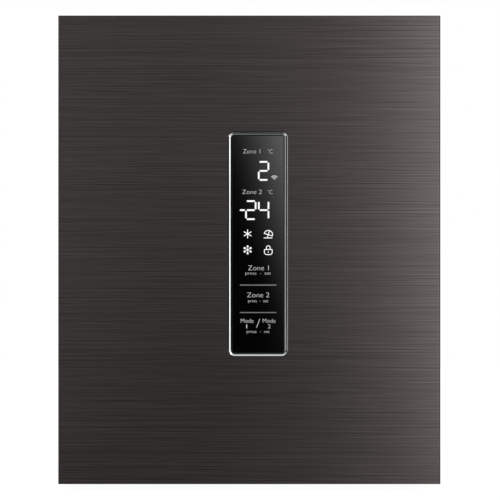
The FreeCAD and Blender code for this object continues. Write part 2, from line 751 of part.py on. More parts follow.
def freezer_frame():
    """Moulded frame on the front edge of the freezer box, with the two hinge ears of the flap."""
    frame_x = evap_x + FRAME_LIP
    y1 = evap_front + FRAME_BACK
    frame = slab_y(-frame_x, frame_x, frame_front, y1, evap_low - FRAME_LIP, evap_top + FRAME_LIP,
                   EVAP_CORNER)
    mouth_x = evap_x - FRAME_LIP
    frame = frame.cut(slab_y(-mouth_x, mouth_x, frame_front, y1, evap_low + FRAME_LIP, evap_top - FRAME_LIP,
                             EVAP_CORNER - FRAME_LIP))
    fit = FRAME_FIT
    groove = slab_y(-evap_x - fit, evap_x + fit, evap_front - fit, y1, evap_low - fit, evap_top + fit,
                    EVAP_CORNER)
    wall = EVAP_SHEET + fit
    groove = groove.cut(slab_y(-evap_x + wall, evap_x - wall, evap_front - fit, y1, evap_low + wall,
                               evap_top - wall, EVAP_CORNER - EVAP_SHEET))
    frame = frame.cut(groove)
    inner = flap_x + FLAP_END_GAP
    for side in (-1, 1):
        x0, x1 = sorted((side * inner, side * (inner + EAR_WIDTH)))
        ear = rod(EAR_ROUND, (x0, flap_y, flap_z), (x1, flap_y, flap_z))
        ear = ear.fuse(box(x0, x1, flap_y, frame_front, flap_z - EAR_ROUND, flap_z + EAR_ROUND))
        ear = ear.cut(rod(FLAP_PIN + PIN_FIT, (x0, flap_y, flap_z), (x1, flap_y, flap_z)))
        frame = frame.fuse(ear)
    return frame.removeSplitter()


def freezer_flap():
    half = FLAP_THICK / 2
    top = evap_top + FRAME_LIP
    outline = [(-flap_x, flap_y - half, flap_z - half), (-flap_x, flap_y + half, flap_z - half),
               (-flap_x, flap_y + half, top), (-flap_x, flap_y - half, top)]
    flap = prism(outline, [half, half, half / 2, half / 2], (2 * flap_x, 0, 0))
    pull_y = flap_y - half - PULL_RADIUS + PULL_SINK
    pull_z = top - 2 * PULL_RADIUS
    flap = flap.cut(rod(PULL_RADIUS, (-PULL_LENGTH / 2, pull_y, pull_z), (PULL_LENGTH / 2, pull_y, pull_z)))
    pin_x = flap_x + FLAP_END_GAP + FLAP_PIN_LENGTH
    for side in (-1, 1):
        flap = flap.fuse(rod(FLAP_PIN, (side * flap_x, flap_y, flap_z), (side * pin_x, flap_y, flap_z)))
    return flap


# Drip tray


def drip_tray():
    body_x = tray_x - TRAY_FLANGE
    y0 = frame_front + TRAY_FRONT_BACKSET
    y1 = cavity_back - TRAY_BACK_GAP
    low = tray_top - TRAY_HEIGHT
    tray = slab_z(-body_x, body_x, y0, y1, low, tray_top, TRAY_CORNER)
    rim = slab_z(-tray_x, tray_x, y0, y1, tray_top - TRAY_WALL, tray_top, TRAY_CORNER)
    inner_x = body_x - TRAY_WALL
    hollow = slab_z(-inner_x, inner_x, y0 + TRAY_WALL, y1 - TRAY_WALL, low + TRAY_WALL, tray_top,
                    TRAY_CORNER - TRAY_WALL)
    return tray.fuse(rim).cut(hollow).removeSplitter()


def tray_rails():
    y0 = frame_front + TRAY_FRONT_BACKSET
    outer = cavity_x
    inner = cavity_x - RAIL_LEDGE
    outline = [(outer, y0, ledge_z - RAIL_THICK), (outer, y0, ledge_z + RAIL_RISE),
               (outer - RAIL_THICK, y0, ledge_z + RAIL_RISE), (outer - RAIL_THICK, y0, ledge_z),
               (inner, y0, ledge_z), (inner, y0, ledge_z - RAIL_THICK)]
    rail = prism(outline, 0, (0, cavity_back - TRAY_BACK_GAP - y0, 0))
    return Part.makeCompound([rail, mirrored(rail)])


# Shelf, crisper, lamp, sensor and drain


def shelf_glass():
    return slab_z(-shelf_x, shelf_x, shelf_front, shelf_back, shelf_z, shelf_z + SHELF_GLASS, SHELF_CORNER)


def shelf_trims():
    """Moulded channels on the front and rear edges of the glass. The rear one has a raised stop."""
    low = shelf_z - TRIM_WALL
    top = shelf_z + SHELF_GLASS + TRIM_WALL
    trims = []
    for edge, inwards, rise in ((shelf_front, 1, 0.0), (shelf_back, -1, TRIM_STOP)):
        outer = edge - inwards * TRIM_WALL
        inner = edge + inwards * TRIM_DEPTH
        step = edge + inwards * TRIM_WALL
        outline = [(-shelf_x, outer, low), (-shelf_x, inner, low), (-shelf_x, inner, top),
                   (-shelf_x, step, top), (-shelf_x, step, top + rise), (-shelf_x, outer, top + rise)]
        if rise == 0.0:
            outline = outline[:3] + [(-shelf_x, outer, top)]
        trim = prism(outline, 0, (2 * shelf_x, 0, 0))
        slot_y0, slot_y1 = sorted((edge, inner))
        slot = box(-shelf_x, shelf_x, slot_y0, slot_y1, shelf_z, shelf_z + SHELF_GLASS)
        trims.append(trim.cut(slot))
    return Part.makeCompound(trims)


def crisper_drawer():
    """Tapered tub that runs on the cabinet floor in front of the compressor step."""
    x = cavity_x - CRISPER_GAP_X
    y0 = front_y + CRISPER_FRONT_BACKSET
    y1 = step_y - CRISPER_GAP_BACK
    z0 = cavity_low + SLIDE_GAP
    z1 = shelf_z - CRISPER_GAP_TOP
    taper = CRISPER_TAPER
    low = (-x + taper, x - taper, y0 + taper, y1 - taper, z0)
    tub = open_tub(low, (-x, x, y0, y1, z1), CRISPER_CORNER, CRISPER_WALL)
    handle = slab_z(-x / 2, x / 2, y0 - CRISPER_HANDLE, y0 + CRISPER_WALL, z1 - HANDLE_HEIGHT, z1,
                    CRISPER_WALL)
    scoop = slab_z(-x / 2 + CRISPER_WALL, x / 2 - CRISPER_WALL, y0 - CRISPER_HANDLE + CRISPER_WALL, y0,
                   z1 - HANDLE_HEIGHT, z1 - CRISPER_WALL, CRISPER_WALL / 2)
    inside = box(-x / 2, x / 2, y0 + CRISPER_WALL, y1, z1 - HANDLE_HEIGHT, z1)
    return tub.fuse(handle.cut(scoop).cut(inside)).removeSplitter()


def lamp_lens():
    length, height = LAMP_SIZE
    y0 = lamp_y - length / 2
    z0 = lamp_z - height / 2
    x0 = cavity_x - LAMP_RISE
    lens = slab_x(x0, cavity_x, y0, y0 + length, z0, z0 + height, height / 4)
    lens = soften(lens, LAMP_RISE / 3, lambda p: near(p.x, x0))
    wall = LAMP_WALL
    return lens.cut(slab_x(x0 + wall, cavity_x, y0 + wall, y0 + length - wall, z0 + wall, z0 + height - wall,
                           height / 4 - wall))


def lamp_board():
    length, height = LAMP_SIZE
    margin = 2 * LAMP_WALL
    y0 = lamp_y - length / 2 + margin
    z0 = lamp_z - height / 2 + margin
    y1 = y0 + length - 2 * margin
    z1 = z0 + height - 2 * margin
    board = slab_x(cavity_x - LAMP_BOARD, cavity_x, y0, y1, z0, z1, height / 4 - margin)
    chips = []
    for i in (-1, 0, 1):
        y = lamp_y + i * length / 4
        chips.append(box(cavity_x - 2 * LAMP_BOARD, cavity_x - LAMP_BOARD, y - margin, y + margin,
                         lamp_z - margin, lamp_z + margin))
    return board.fuse(chips)


def sensor_cover():
    length, height = SENSOR_SIZE
    x0 = sensor_x - length / 2
    z0 = sensor_z - height / 2
    y0 = cavity_back - SENSOR_RISE
    cover = slab_y(x0, x0 + length, y0, cavity_back, z0, z0 + height, SENSOR_RISE / 2)
    cover = soften(cover, SENSOR_RISE / 4, lambda p: near(p.y, y0))
    wall = SENSOR_WALL
    cover = cover.cut(slab_y(x0 + wall, x0 + length - wall, y0 + wall, cavity_back, z0 + wall,
                             z0 + height - wall, SENSOR_RISE / 2 - wall))
    pitch = height / (SENSOR_SLOTS + 1)
    for i in range(SENSOR_SLOTS):
        z = z0 + (i + 1) * pitch
        slot = box(x0 + pitch, x0 + length - pitch, y0, y0 + wall, z - pitch / 4, z + pitch / 4)
        cover = cover.cut(slot)
    return cover


def drain_tube():
    x, y = drain_place()
    low = bay_top - DRAIN_DROP
    return drain_blank().cut(rod(DRAIN_RADIUS - DRAIN_WALL, (x, y, low), (x, y, step_top)))


# Cooling set


def compressor_profile():
    """Half outline of the two drawn shell halves with their welded seam."""
    r = COMPRESSOR_RADIUS
    low = compressor_low
    top = compressor_top
    seam = (low + top) / 2
    h = COMPRESSOR_SEAM_HEIGHT / 2
    flare = r + COMPRESSOR_SEAM
    points = [(0, low), (r, low), (r, seam - h), (flare, seam - h), (flare, seam + h), (r, seam + h),
              (r, top), (0, top)]
    outline = [(compressor_x + px, compressor_y, pz) for px, pz in points]
    radii = [0, DOME_ROUND] + [SEAM_ROUND] * 4 + [DOME_ROUND, 0]
    return rounded_path(outline, radii, closed=True)


def compressor_shell():
    axis = Vector(compressor_x, compressor_y, 0)
    shell = Part.Face(compressor_profile()).revolve(axis, Vector(0, 0, 1), 360)
    suction_start = compressor_x + COMPRESSOR_RADIUS / 2
    stub_end = compressor_x + COMPRESSOR_RADIUS + STUB_LENGTH
    stubs = [rod(STUB_RADIUS, (suction_start, compressor_y, suction_z), (stub_end, compressor_y, suction_z))]
    z = compressor_low + DISCHARGE_Z
    for offset in (-DISCHARGE_SIDE, DISCHARGE_SIDE):
        y = compressor_y + offset
        stubs.append(rod(STUB_RADIUS, (suction_start, y, z), (stub_end, y, z)))
    return shell.fuse(stubs)


def compressor_base_plate():
    x = PLATE_LENGTH / 2
    y = PLATE_WIDTH / 2
    plate = slab_z(compressor_x - x, compressor_x + x, compressor_y - y, compressor_y + y, plate_low,
                   compressor_low, PLATE_CORNER)
    waist = PLATE_WIDTH / 4
    for side in (-1, 1):
        edge = compressor_x + side * x
        notch_x0, notch_x1 = sorted((edge, edge - side * PLATE_INSET))
        plate = plate.cut(slab_z(notch_x0, notch_x1, compressor_y - waist, compressor_y + waist, plate_low,
                                 compressor_low, 0))
    necks = [rod(GROMMET_NECK, (bx, by, plate_low), (bx, by, compressor_low)) for bx, by in pan_bolt_places()]
    return plate.cut(necks)


def compressor_grommets():
    grommets = []
    for x, y in pan_bolt_places():
        profile = [(BOLT_RADIUS, pan_top), (GROMMET_RADIUS, pan_top), (GROMMET_RADIUS, plate_low),
                   (GROMMET_NECK, plate_low), (GROMMET_NECK, compressor_low),
                   (GROMMET_RADIUS - GROMMET_TAPER, compressor_low),
                   (GROMMET_RADIUS - 2 * GROMMET_TAPER, compressor_low + GROMMET_CAP),
                   (BOLT_RADIUS, compressor_low + GROMMET_CAP)]
        grommets.append(revolve(profile, x, y))
    return Part.makeCompound(grommets)


def compressor_bolts():
    bolts = []
    seat = compressor_low + GROMMET_CAP
    for x, y in pan_bolt_places():
        shank = rod(BOLT_RADIUS, (x, y, cabinet_low), (x, y, seat))
        points = []
        for i in range(6):
            angle = math.radians(60 * i)
            points.append((x + BOLT_HEAD * math.cos(angle), y + BOLT_HEAD * math.sin(angle), seat))
        bolts.append(shank.fuse(prism(points, 0, (0, 0, BOLT_HEAD_HEIGHT))))
    return Part.makeCompound(bolts)


def terminal_cover():
    x1 = compressor_x - COMPRESSOR_RADIUS / 2
    x0 = compressor_x - COMPRESSOR_RADIUS - TERMINAL_REACH
    y = TERMINAL_WIDTH / 2
    z0 = compressor_low + TERMINAL_Z - TERMINAL_HEIGHT / 2
    cover = slab_x(x0, x1, compressor_y - y, compressor_y + y, z0, z0 + TERMINAL_HEIGHT, TERMINAL_REACH / 4)
    cover = soften(cover, TERMINAL_REACH / 6, lambda p: near(p.x, x0))
    return cover.cut(compressor_shell())


def drain_pan():
    x = PAN_DISH_LENGTH / 2
    y = PAN_DISH_WIDTH / 2
    taper = PAN_DISH_WALL * 2
    low = (compressor_x - x + taper, compressor_x + x - taper, compressor_y - y + taper,
           compressor_y + y - taper, compressor_top)
    high = (compressor_x - x, compressor_x + x, compressor_y - y, compressor_y + y,
            compressor_top + PAN_DISH_HEIGHT)
    return open_tub(low, high, PAN_DISH_CORNER, PAN_DISH_WALL)


def suction_line():
    return tube(suction_points(), [0, EXIT_BEND, LINE_BEND, LINE_BEND, 0], LINE_RADIUS)


def discharge_line():
    y = compressor_y + DISCHARGE_SIDE
    z = compressor_low + DISCHARGE_Z
    stub_end = compressor_x + COMPRESSOR_RADIUS + STUB_LENGTH
    points = [(stub_end, y, z), (feed_x, y, z), (feed_x, condenser_y, z), (feed_x, condenser_y, feed_low)]
    return tube(points, LINE_BEND, CONDENSER_TUBE)


def condenser_tube():
    """Serpentine from the riser at the right, down to the drier at the left."""
    points = [(feed_x, condenser_y, feed_low), (feed_x, condenser_y, condenser_high)]
    bends = [0, LINE_BEND]
    for i in range(condenser_runs):
        z = condenser_high - i * CONDENSER_PITCH
        side = -1 if i % 2 == 0 else 1
        if i > 0:
            points.append((-side * condenser_half, condenser_y, z))
            bends.append(CONDENSER_PITCH / 2)
        last = i == condenser_runs - 1
        points.append((-feed_x if last else side * condenser_half, condenser_y, z))
        bends.append(LINE_BEND if last else CONDENSER_PITCH / 2)
    points.append((-feed_x, condenser_y, feed_low))
    bends.append(0)
    return tube(points, bends, CONDENSER_TUBE)


def condenser_wires():
    offset = CONDENSER_TUBE + WIRE_RADIUS + WIRE_GAP
    low = condenser_low - WIRE_OVERHANG
    high = condenser_high + WIRE_OVERHANG
    wires = []
    for i in range(wire_count):
        x = (i - (wire_count - 1) / 2) * WIRE_PITCH
        for y in (condenser_y - offset, condenser_y + offset):
            wires.append(rod(WIRE_RADIUS, (x, y, low), (x, y, high)))
    return Part.makeCompound(wires)


def clip_places():
    return [(side * clip_x, z) for side in (-1, 1) for z in (condenser_low, condenser_high)]


def condenser_brackets():
    """Bent clips on the rear panel. Each web holds one tube run in a hole."""
    clips = []
    end = condenser_y + CONDENSER_TUBE + 2 * CLIP_SHEET
    for x, z in clip_places():
        web = box(x, x + CLIP_SHEET, back_y, end, z - CLIP_HALF, z + CLIP_HALF)
        foot = box(x, x + CLIP_FOOT, back_y, back_y + CLIP_SHEET, z - CLIP_HALF, z + CLIP_HALF)
        clip = web.fuse(foot)
        hole = rod(CONDENSER_TUBE + WIRE_GAP, (x, condenser_y, z), (x + CLIP_SHEET, condenser_y, z))
        clips.append(clip.cut([hole] + panel_screw_shanks()).removeSplitter())
    return Part.makeCompound(clips)


def panel_screws():
    screws = []
    for shank, (x, y, z) in zip(panel_screw_shanks(), panel_screw_seats()):
        crown = y + SCREW_HEAD_HEIGHT
        head = rod(PANEL_SCREW_HEAD, (x, y, z), (x, crown, z))
        head = soften(head, SCREW_HEAD_HEIGHT / 2, lambda p: near(p.y, crown))
        screws.append(shank.fuse(head).cut(cross_recess(Vector(x, crown, z), Vector(0, -1, 0))))
    return Part.makeCompound(screws)


def filter_drier():
    r = DRIER_RADIUS
    top = feed_low
    low = feed_low - DRIER_LENGTH
    profile = [(0, low), (CONDENSER_TUBE, low), (r, low + DRIER_NECK), (r, top - DRIER_NECK),
               (CONDENSER_TUBE, top), (0, top)]
    return revolve(profile, -feed_x, condenser_y)


def capillary_tube():
    return tube(capillary_points(), CAPILLARY_BEND, CAPILLARY_RADIUS)


def control_box():
    """Power box in the bay, with an overhanging lid."""
    y0 = bay_y + BOX_GAP
    lip = BOX_LID_LIP
    z1 = pan_top + BOX_HEIGHT
    body = slab_z(box_x0, box_x1, y0, y0 + BOX_WIDTH, pan_top, z1, BOX_CORNER)
    lid = slab_z(box_x0 - lip, box_x1 + lip, y0 - lip, y0 + BOX_WIDTH + lip, z1 - BOX_LID, z1,
                 BOX_CORNER + lip)
    lid = soften(lid, lip / 2, lambda p: near(p.z, z1))
    return body.fuse(lid).removeSplitter()


def cord_gland():
    y0 = bay_y + BOX_GAP + BOX_WIDTH
    x = (box_x0 + box_x1) / 2
    z = pan_top + GLAND_HEIGHT
    flange = rod(GLAND_RADIUS, (x, y0, z), (x, y0 + GLAND_LENGTH / 3, z))
    nose = Part.makeCone(GLAND_NOSE, GLAND_TIP, GLAND_LENGTH * 2 / 3, Vector(x, y0 + GLAND_LENGTH / 3, z),
                         Vector(0, 1, 0))
    return flange.fuse(nose).cut(rod(GLAND_BORE, (x, y0, z), (x, y0 + GLAND_LENGTH, z)))


# Hinges


def bracket_plate(z):
    """Flat plate on the cabinet with an arm out to the hinge axis, rounded about that axis."""
    x0 = plate_right - BRACKET_WIDTH
    arm_x0 = hinge_x - ARM_RADIUS
    arm_x1 = hinge_x + ARM_RADIUS
    tip = hinge_y - ARM_RADIUS
    neck = front_y - 2 * COVER_GAP
    end = front_y + BRACKET_REACH
    outline = [(x0, plate_root, z), (arm_x0, plate_root, z), (arm_x0, tip, z), (arm_x1, tip, z),
               (arm_x1, neck, z), (plate_right, neck, z), (plate_right, end, z), (x0, end, z)]
    radii = [BRACKET, BRACKET, ARM_RADIUS, ARM_RADIUS, BRACKET, BRACKET, BRACKET, BRACKET]
    return prism(outline, radii, (0, 0, BRACKET))


def top_hinge_bracket():
    plate = bracket_plate(cabinet_top)
    root = (hinge_x, hinge_y, cabinet_top + BRACKET / 2)
    pin = rod(PIN_RADIUS, root, (hinge_x, hinge_y, cabinet_top - PIN_LENGTH))
    return plate.fuse(pin).cut(hinge_screw_shanks(SCREW_RADIUS))


def bottom_hinge_bracket():
    plate = bracket_plate(cabinet_low - BRACKET)
    root = (hinge_x, hinge_y, cabinet_low - BRACKET / 2)
    pin = rod(PIN_RADIUS, root, (hinge_x, hinge_y, cabinet_low + PIN_LENGTH))
    return plate.fuse(pin).cut(hinge_screw_shanks(SCREW_RADIUS))


def hinge_screws():
    screws = []
    shanks = hinge_screw_shanks(SCREW_RADIUS)
    for i, (x, y) in enumerate(bracket_screw_places()):
        for shank, seat, outwards in ((shanks[2 * i], cabinet_top + BRACKET, 1),
                                      (shanks[2 * i + 1], cabinet_low - BRACKET, -1)):
            crown = seat + outwards * SCREW_HEAD_HEIGHT
            screw = shank.fuse(rod(SCREW_HEAD, (x, y, seat), (x, y, crown)))
            screws.append(screw.cut(cross_recess(Vector(x, y, crown), Vector(0, 0, -outwards))))
    return Part.makeCompound(screws)


def top_hinge_cover():
    """Snap-on cover over the top bracket and its screws."""
    wall = COVER_WALL
    edge = COVER_GAP + wall
    x0 = plate_right - BRACKET_WIDTH - edge
    x1 = plate_right + edge
    y0 = plate_root - edge
    y1 = front_y + BRACKET_REACH + edge
    z1 = cabinet_top + COVER_HEIGHT
    cover = slab_z(x0, x1, y0, y1, cabinet_top, z1, COVER_ROUND)
    cover = soften(cover, COVER_ROUND / 2, lambda p: near(p.z, z1))
    hollow = slab_z(x0 + wall, x1 - wall, y0 + wall, y1 - wall, cabinet_top, z1 - wall, COVER_ROUND - wall)
    mouth = box(hinge_x - ARM_RADIUS - COVER_GAP, x1 - wall, y0, y0 + edge, cabinet_top,
                cabinet_top + BRACKET + COVER_GAP)
    return cover.cut(hollow).cut(mouth)


def hinge_bush(level, direction):
    """Flanged bush. The flange stands outside the door pocket, the sleeve in the cap."""
    bore = PIN_RADIUS + PIN_FIT
    sleeve = bore + BUSH_WALL
    gap_face = level - direction * HINGE_GAP + direction * BUSH_PLAY
    inner_end = level + direction * (PIN_LENGTH - HINGE_GAP + BUSH_PLAY)
    body = rod(sleeve, (hinge_x, hinge_y, level), (hinge_x, hinge_y, inner_end))
    flange = rod(sleeve + BUSH_FLANGE, (hinge_x, hinge_y, gap_face), (hinge_x, hinge_y, level))
    hole = rod(bore, (hinge_x, hinge_y, gap_face), (hinge_x, hinge_y, inner_end))
    return body.fuse(flange).cut(hole)


def hinge_bushes():
    return Part.makeCompound([hinge_bush(pocket_low, 1), hinge_bush(pocket_top, -1)])


# Door


def door_skin():
    """Front sheet with both long edges folded back. It stands past the caps above and below."""
    x = WIDTH / 2
    inner = x - SKIN_BEND
    side_end = door_back_y - LINER
    outer = prism([(-x, face_y, 0), (x, face_y, 0), (x, side_end, 0), (-x, side_end, 0)],
                  [SKIN_BEND, SKIN_BEND, 0, 0], (0, 0, HEIGHT - DOOR_FLOOR_GAP))
    hollow_x = x - SHEET
    hollow = prism([(-hollow_x, face_y + SHEET, 0), (hollow_x, face_y + SHEET, 0), (hollow_x, side_end, 0),
                    (-hollow_x, side_end, 0)], [SKIN_BEND - SHEET, SKIN_BEND - SHEET, 0, 0],
                   (0, 0, HEIGHT - DOOR_FLOOR_GAP))
    skin = outer.cut(hollow)
    skin.translate(Vector(0, 0, DOOR_FLOOR_GAP))
    for z0, z1 in ((DOOR_FLOOR_GAP, pocket_low), (pocket_top, HEIGHT)):
        skin = skin.cut(box(inner, x, face_y + SKIN_BEND, side_end, z0, z1))
    mouth_x = STRIP_WIDTH / 2 - FRAME_BAND + GLASS_FIT
    mouth_z = STRIP_HEIGHT / 2 - FRAME_BAND + GLASS_FIT
    skin = skin.cut(slab_y(STRIP_X - mouth_x, STRIP_X + mouth_x, face_y, face_y + SHEET, STRIP_Z - mouth_z,
                           STRIP_Z + mouth_z, STRIP_CORNER - FRAME_BAND))
    return skin.cut(grip_block(0, 2 * SHEET))


def door_cap(pocket, deck, edge):
    """Moulded end cap: a deck inside the door, a rim out to the steel's edge and the hinge boss."""
    x = WIDTH / 2 - SHEET
    y0 = face_y + SHEET
    low, high = sorted((deck, pocket))
    inner_bend = SKIN_BEND - SHEET
    deck_outline = [(-x, y0, low), (x, y0, low), (x, door_back_y, low), (-x, door_back_y, low)]
    cap = prism(deck_outline, [inner_bend, inner_bend, 0, 0], (0, 0, high - low))
    rim_low, rim_high = sorted((pocket, edge))
    rim_outline = [(-x, y0, rim_low), (pocket_x, y0, rim_low), (pocket_x, door_back_y, rim_low),
                   (-x, door_back_y, rim_low)]
    rim = prism(rim_outline, [inner_bend, CAP_ROUND, CAP_ROUND, CAP_ROUND], (0, 0, rim_high - rim_low))
    rim = soften(rim, CAP_ROUND / 2, lambda p: near(p.z, edge) and p.y > y0 + inner_bend)
    cap = cap.fuse(rim)
    sleeve = PIN_RADIUS + PIN_FIT + BUSH_WALL
    into = 1 if deck > pocket else -1
    end = pocket + into * (PIN_LENGTH + BOSS_WALL)
    cap = cap.fuse(rod(sleeve + BOSS_WALL, (hinge_x, hinge_y, pocket), (hinge_x, hinge_y, end)))
    bush_end = pocket + into * (PIN_LENGTH - HINGE_GAP + BUSH_PLAY)
    cap = cap.cut(rod(sleeve, (hinge_x, hinge_y, pocket), (hinge_x, hinge_y, bush_end)))
    return cap.removeSplitter()


def door_top_cap():
    return door_cap(pocket_top, deck_top, HEIGHT - CAP_SETBACK)


def door_bottom_cap():
    return door_cap(pocket_low, deck_low, DOOR_FLOOR_GAP + CAP_SETBACK)


def grip_block(inset, reach):
    """The grip's space in the left edge of the door, seen as a rounded slot."""
    half = GRIP_LENGTH / 2 - inset
    y_mid = face_y + DOOR_THICK / 2
    y_half = GRIP_WIDTH / 2 - inset
    x0 = -WIDTH / 2
    return slab_x(x0, x0 + reach, y_mid - y_half, y_mid + y_half, GRIP_HEIGHT - half, GRIP_HEIGHT + half,
                  y_half - ROUND_SPARE)


def door_grip():
    """Moulded finger cup in the door's left edge, flush with the folded steel."""
    cup = grip_block(0, GRIP_DEPTH)
    hollow = grip_block(GRIP_WALL, GRIP_DEPTH - GRIP_WALL)
    return cup.cut(hollow)


def dike_ring(inset, y1):
    """Raised ring of the door liner. The inset draws every face in by the liner's thickness."""
    x = dike_x - inset
    low = dike_low + inset
    top = dike_top - inset
    band = DIKE_WIDTH - 2 * inset
    ring = ring_y(x, low, top, DIKE_CORNER - inset, band, door_back_y - LINER, y1)
    crest = y1
    return soften(ring, DIKE_ROUND - inset, lambda p: near(p.y, crest))


def bin_lugs():
    """Lugs on the inner flanks of the ring that carry the bins."""
    lugs = []
    x1 = dike_x - DIKE_WIDTH + LINER / 2
    x0 = dike_x - DIKE_WIDTH - LUG_REACH
    y0 = door_back_y + LUG_BACKSET
    for level in (LOWER_BIN_Z, UPPER_BIN_Z):
        top = level + LUG_RISE
        lug = prism([(x0, y0, top - LUG_HEIGHT), (x1, y0, top - LUG_HEIGHT - LUG_REACH), (x1, y0, top),
                     (x0, y0, top)], 0, (0, LUG_DEPTH, 0))
        lugs += [lug, mirrored(lug)]
    return lugs


def door_liner():
    x = WIDTH / 2
    rim = box(-x, x, door_back_y - LINER, door_back_y, deck_low, deck_top)
    crest = door_back_y + DIKE_DEPTH
    liner = rim.fuse(dike_ring(0, crest)).cut(dike_ring(LINER, crest - LINER))
    return liner.fuse(bin_lugs()).removeSplitter()


def door_foam():
    x = WIDTH / 2 - SHEET
    foam = box(-x, x, face_y + SHEET, door_back_y - LINER, deck_low, deck_top)
    foam = foam.common(prism([(-x, face_y + SHEET, deck_low), (x, face_y + SHEET, deck_low),
                              (x, door_back_y, deck_low), (-x, door_back_y, deck_low)],
                             [SKIN_BEND - SHEET, SKIN_BEND - SHEET, 0, 0], (0, 0, deck_top - deck_low)))
    foam = foam.fuse(dike_ring(LINER, door_back_y + DIKE_DEPTH - LINER))
    boss = PIN_RADIUS + PIN_FIT + BUSH_WALL + BOSS_WALL
    reach = PIN_LENGTH + BOSS_WALL
    foam = foam.cut([rod(boss, (hinge_x, hinge_y, pocket_low), (hinge_x, hinge_y, pocket_low + reach)),
                     rod(boss, (hinge_x, hinge_y, pocket_top), (hinge_x, hinge_y, pocket_top - reach))])
    return foam.cut(grip_block(0, GRIP_DEPTH)).cut(tub_block(0, TUB_DEPTH)).removeSplitter()


def door_gasket():
    """Magnetic gasket: foot on the liner, a drawn-in fold and the magnet head."""
    x = WIDTH / 2 - GASKET_INSET
    low = deck_low + GASKET_INSET / 2
    top = deck_top - GASKET_INSET / 2
    head_y = door_back_y + GASKET_HEIGHT - GASKET_HEAD
    foot = ring_y(x, low, top, GASKET_CORNER, GASKET_WIDTH, door_back_y, door_back_y + GASKET_FOOT)
    neck = GASKET_NECK
    fold = ring_y(x - neck, low + neck, top - neck, GASKET_CORNER - neck, GASKET_WIDTH - 2 * neck,
                  door_back_y + GASKET_FOOT, head_y)
    head = ring_y(x, low, top, GASKET_CORNER, GASKET_WIDTH, head_y, door_back_y + GASKET_HEIGHT)
    return foot.fuse([fold, head])


def tub_block(inset, depth):
    """The display housing's space behind the steel."""
    x = STRIP_WIDTH / 2 - inset
    z = STRIP_HEIGHT / 2 - inset
    y0 = face_y + SHEET
    return slab_y(STRIP_X - x, STRIP_X + x, y0, y0 + depth, STRIP_Z - z, STRIP_Z + z, STRIP_CORNER - inset)


def board_front_y():
    return face_y - FRAME_PROUD + GLASS_SINK + GLASS_THICK + BOARD_BEHIND


def board_half():
    return STRIP_WIDTH / 2 - TUB_WALL - BOARD_MARGIN, STRIP_HEIGHT / 2 - TUB_WALL - BOARD_MARGIN


def display_housing():
    """Tub behind the glass, with four posts for the board."""
    tub = tub_block(0, TUB_DEPTH).cut(tub_block(TUB_WALL, TUB_DEPTH - TUB_WALL))
    floor_y = face_y + SHEET + TUB_DEPTH - TUB_WALL
    x, z = board_half()
    seat = board_front_y() + BOARD_THICK
    for sx in (-1, 1):
        for sz in (-1, 1):
            px = STRIP_X + sx * (x - 2 * POST_RADIUS)
            pz = STRIP_Z + sz * (z - 2 * POST_RADIUS)
            tub = tub.fuse(rod(POST_RADIUS, (px, seat, pz), (px, floor_y, pz)))
    return tub


def display_board():
    """Circuit board with two digit modules in front and a row of chips behind."""
    x, z = board_half()
    y0 = board_front_y()
    board = slab_y(STRIP_X - x, STRIP_X + x, y0, y0 + BOARD_THICK, STRIP_Z - z, STRIP_Z + z, POST_RADIUS)
    dx, dy, dz = DIGIT_SIZE
    upper = STRIP_Z + z - dz
    for i in range(2):
        zc = upper - i * 2 * dz
        board = board.fuse(box(STRIP_X - dx / 2, STRIP_X + dx / 2, y0 - dy, y0, zc - dz / 2, zc + dz / 2))
    cx, cy, cz = CHIP_SIZE
    for i in range(3):
        zc = STRIP_Z - (2 * i + 1) * cz
        y1 = y0 + BOARD_THICK
        board = board.fuse(box(STRIP_X - cx / 2, STRIP_X + cx / 2, y1, y1 + cy, zc - cz / 2, zc + cz / 2))
    return board


def strip_outline(inset, y):
    """The display's outline at one depth, drawn in by an inset."""
    x = STRIP_WIDTH / 2 - inset
    z = STRIP_HEIGHT / 2 - inset
    corners = [(STRIP_X - x, y, STRIP_Z - z), (STRIP_X + x, y, STRIP_Z - z), (STRIP_X + x, y, STRIP_Z + z),
               (STRIP_X - x, y, STRIP_Z + z)]
    return rounded_path(corners, STRIP_CORNER - inset, closed=True)


def strip_plate(inset, y0, y1):
    return Part.Face(strip_outline(inset, y0)).extrude(Vector(0, y1 - y0, 0))


def front_chamfer(plate, size, front):
    edges = [e for e in plate.Edges if all(near(v.Y, front) for v in e.Vertexes)]
    return plate.makeChamfer(size, edges)


def display_frame():
    """Bright frame on the steel. Its face falls from a sharp outer crest to the glass."""
    crest = face_y - FRAME_PROUD
    frame = front_chamfer(strip_plate(0, crest, face_y), FRAME_BEVEL - FRAME_LAND, crest)
    dish = Part.makeLoft([strip_outline(FRAME_BEVEL, crest),
                          strip_outline(FRAME_BAND - FRAME_LAND, crest + FRAME_DROP)], True, True)
    return frame.cut(dish).cut(strip_plate(FRAME_BAND, crest, face_y))


def display_glass():
    front = face_y - FRAME_PROUD + GLASS_SINK
    return front_chamfer(strip_plate(FRAME_BAND + GLASS_FIT, front, front + GLASS_THICK), GLASS_EDGE, front)


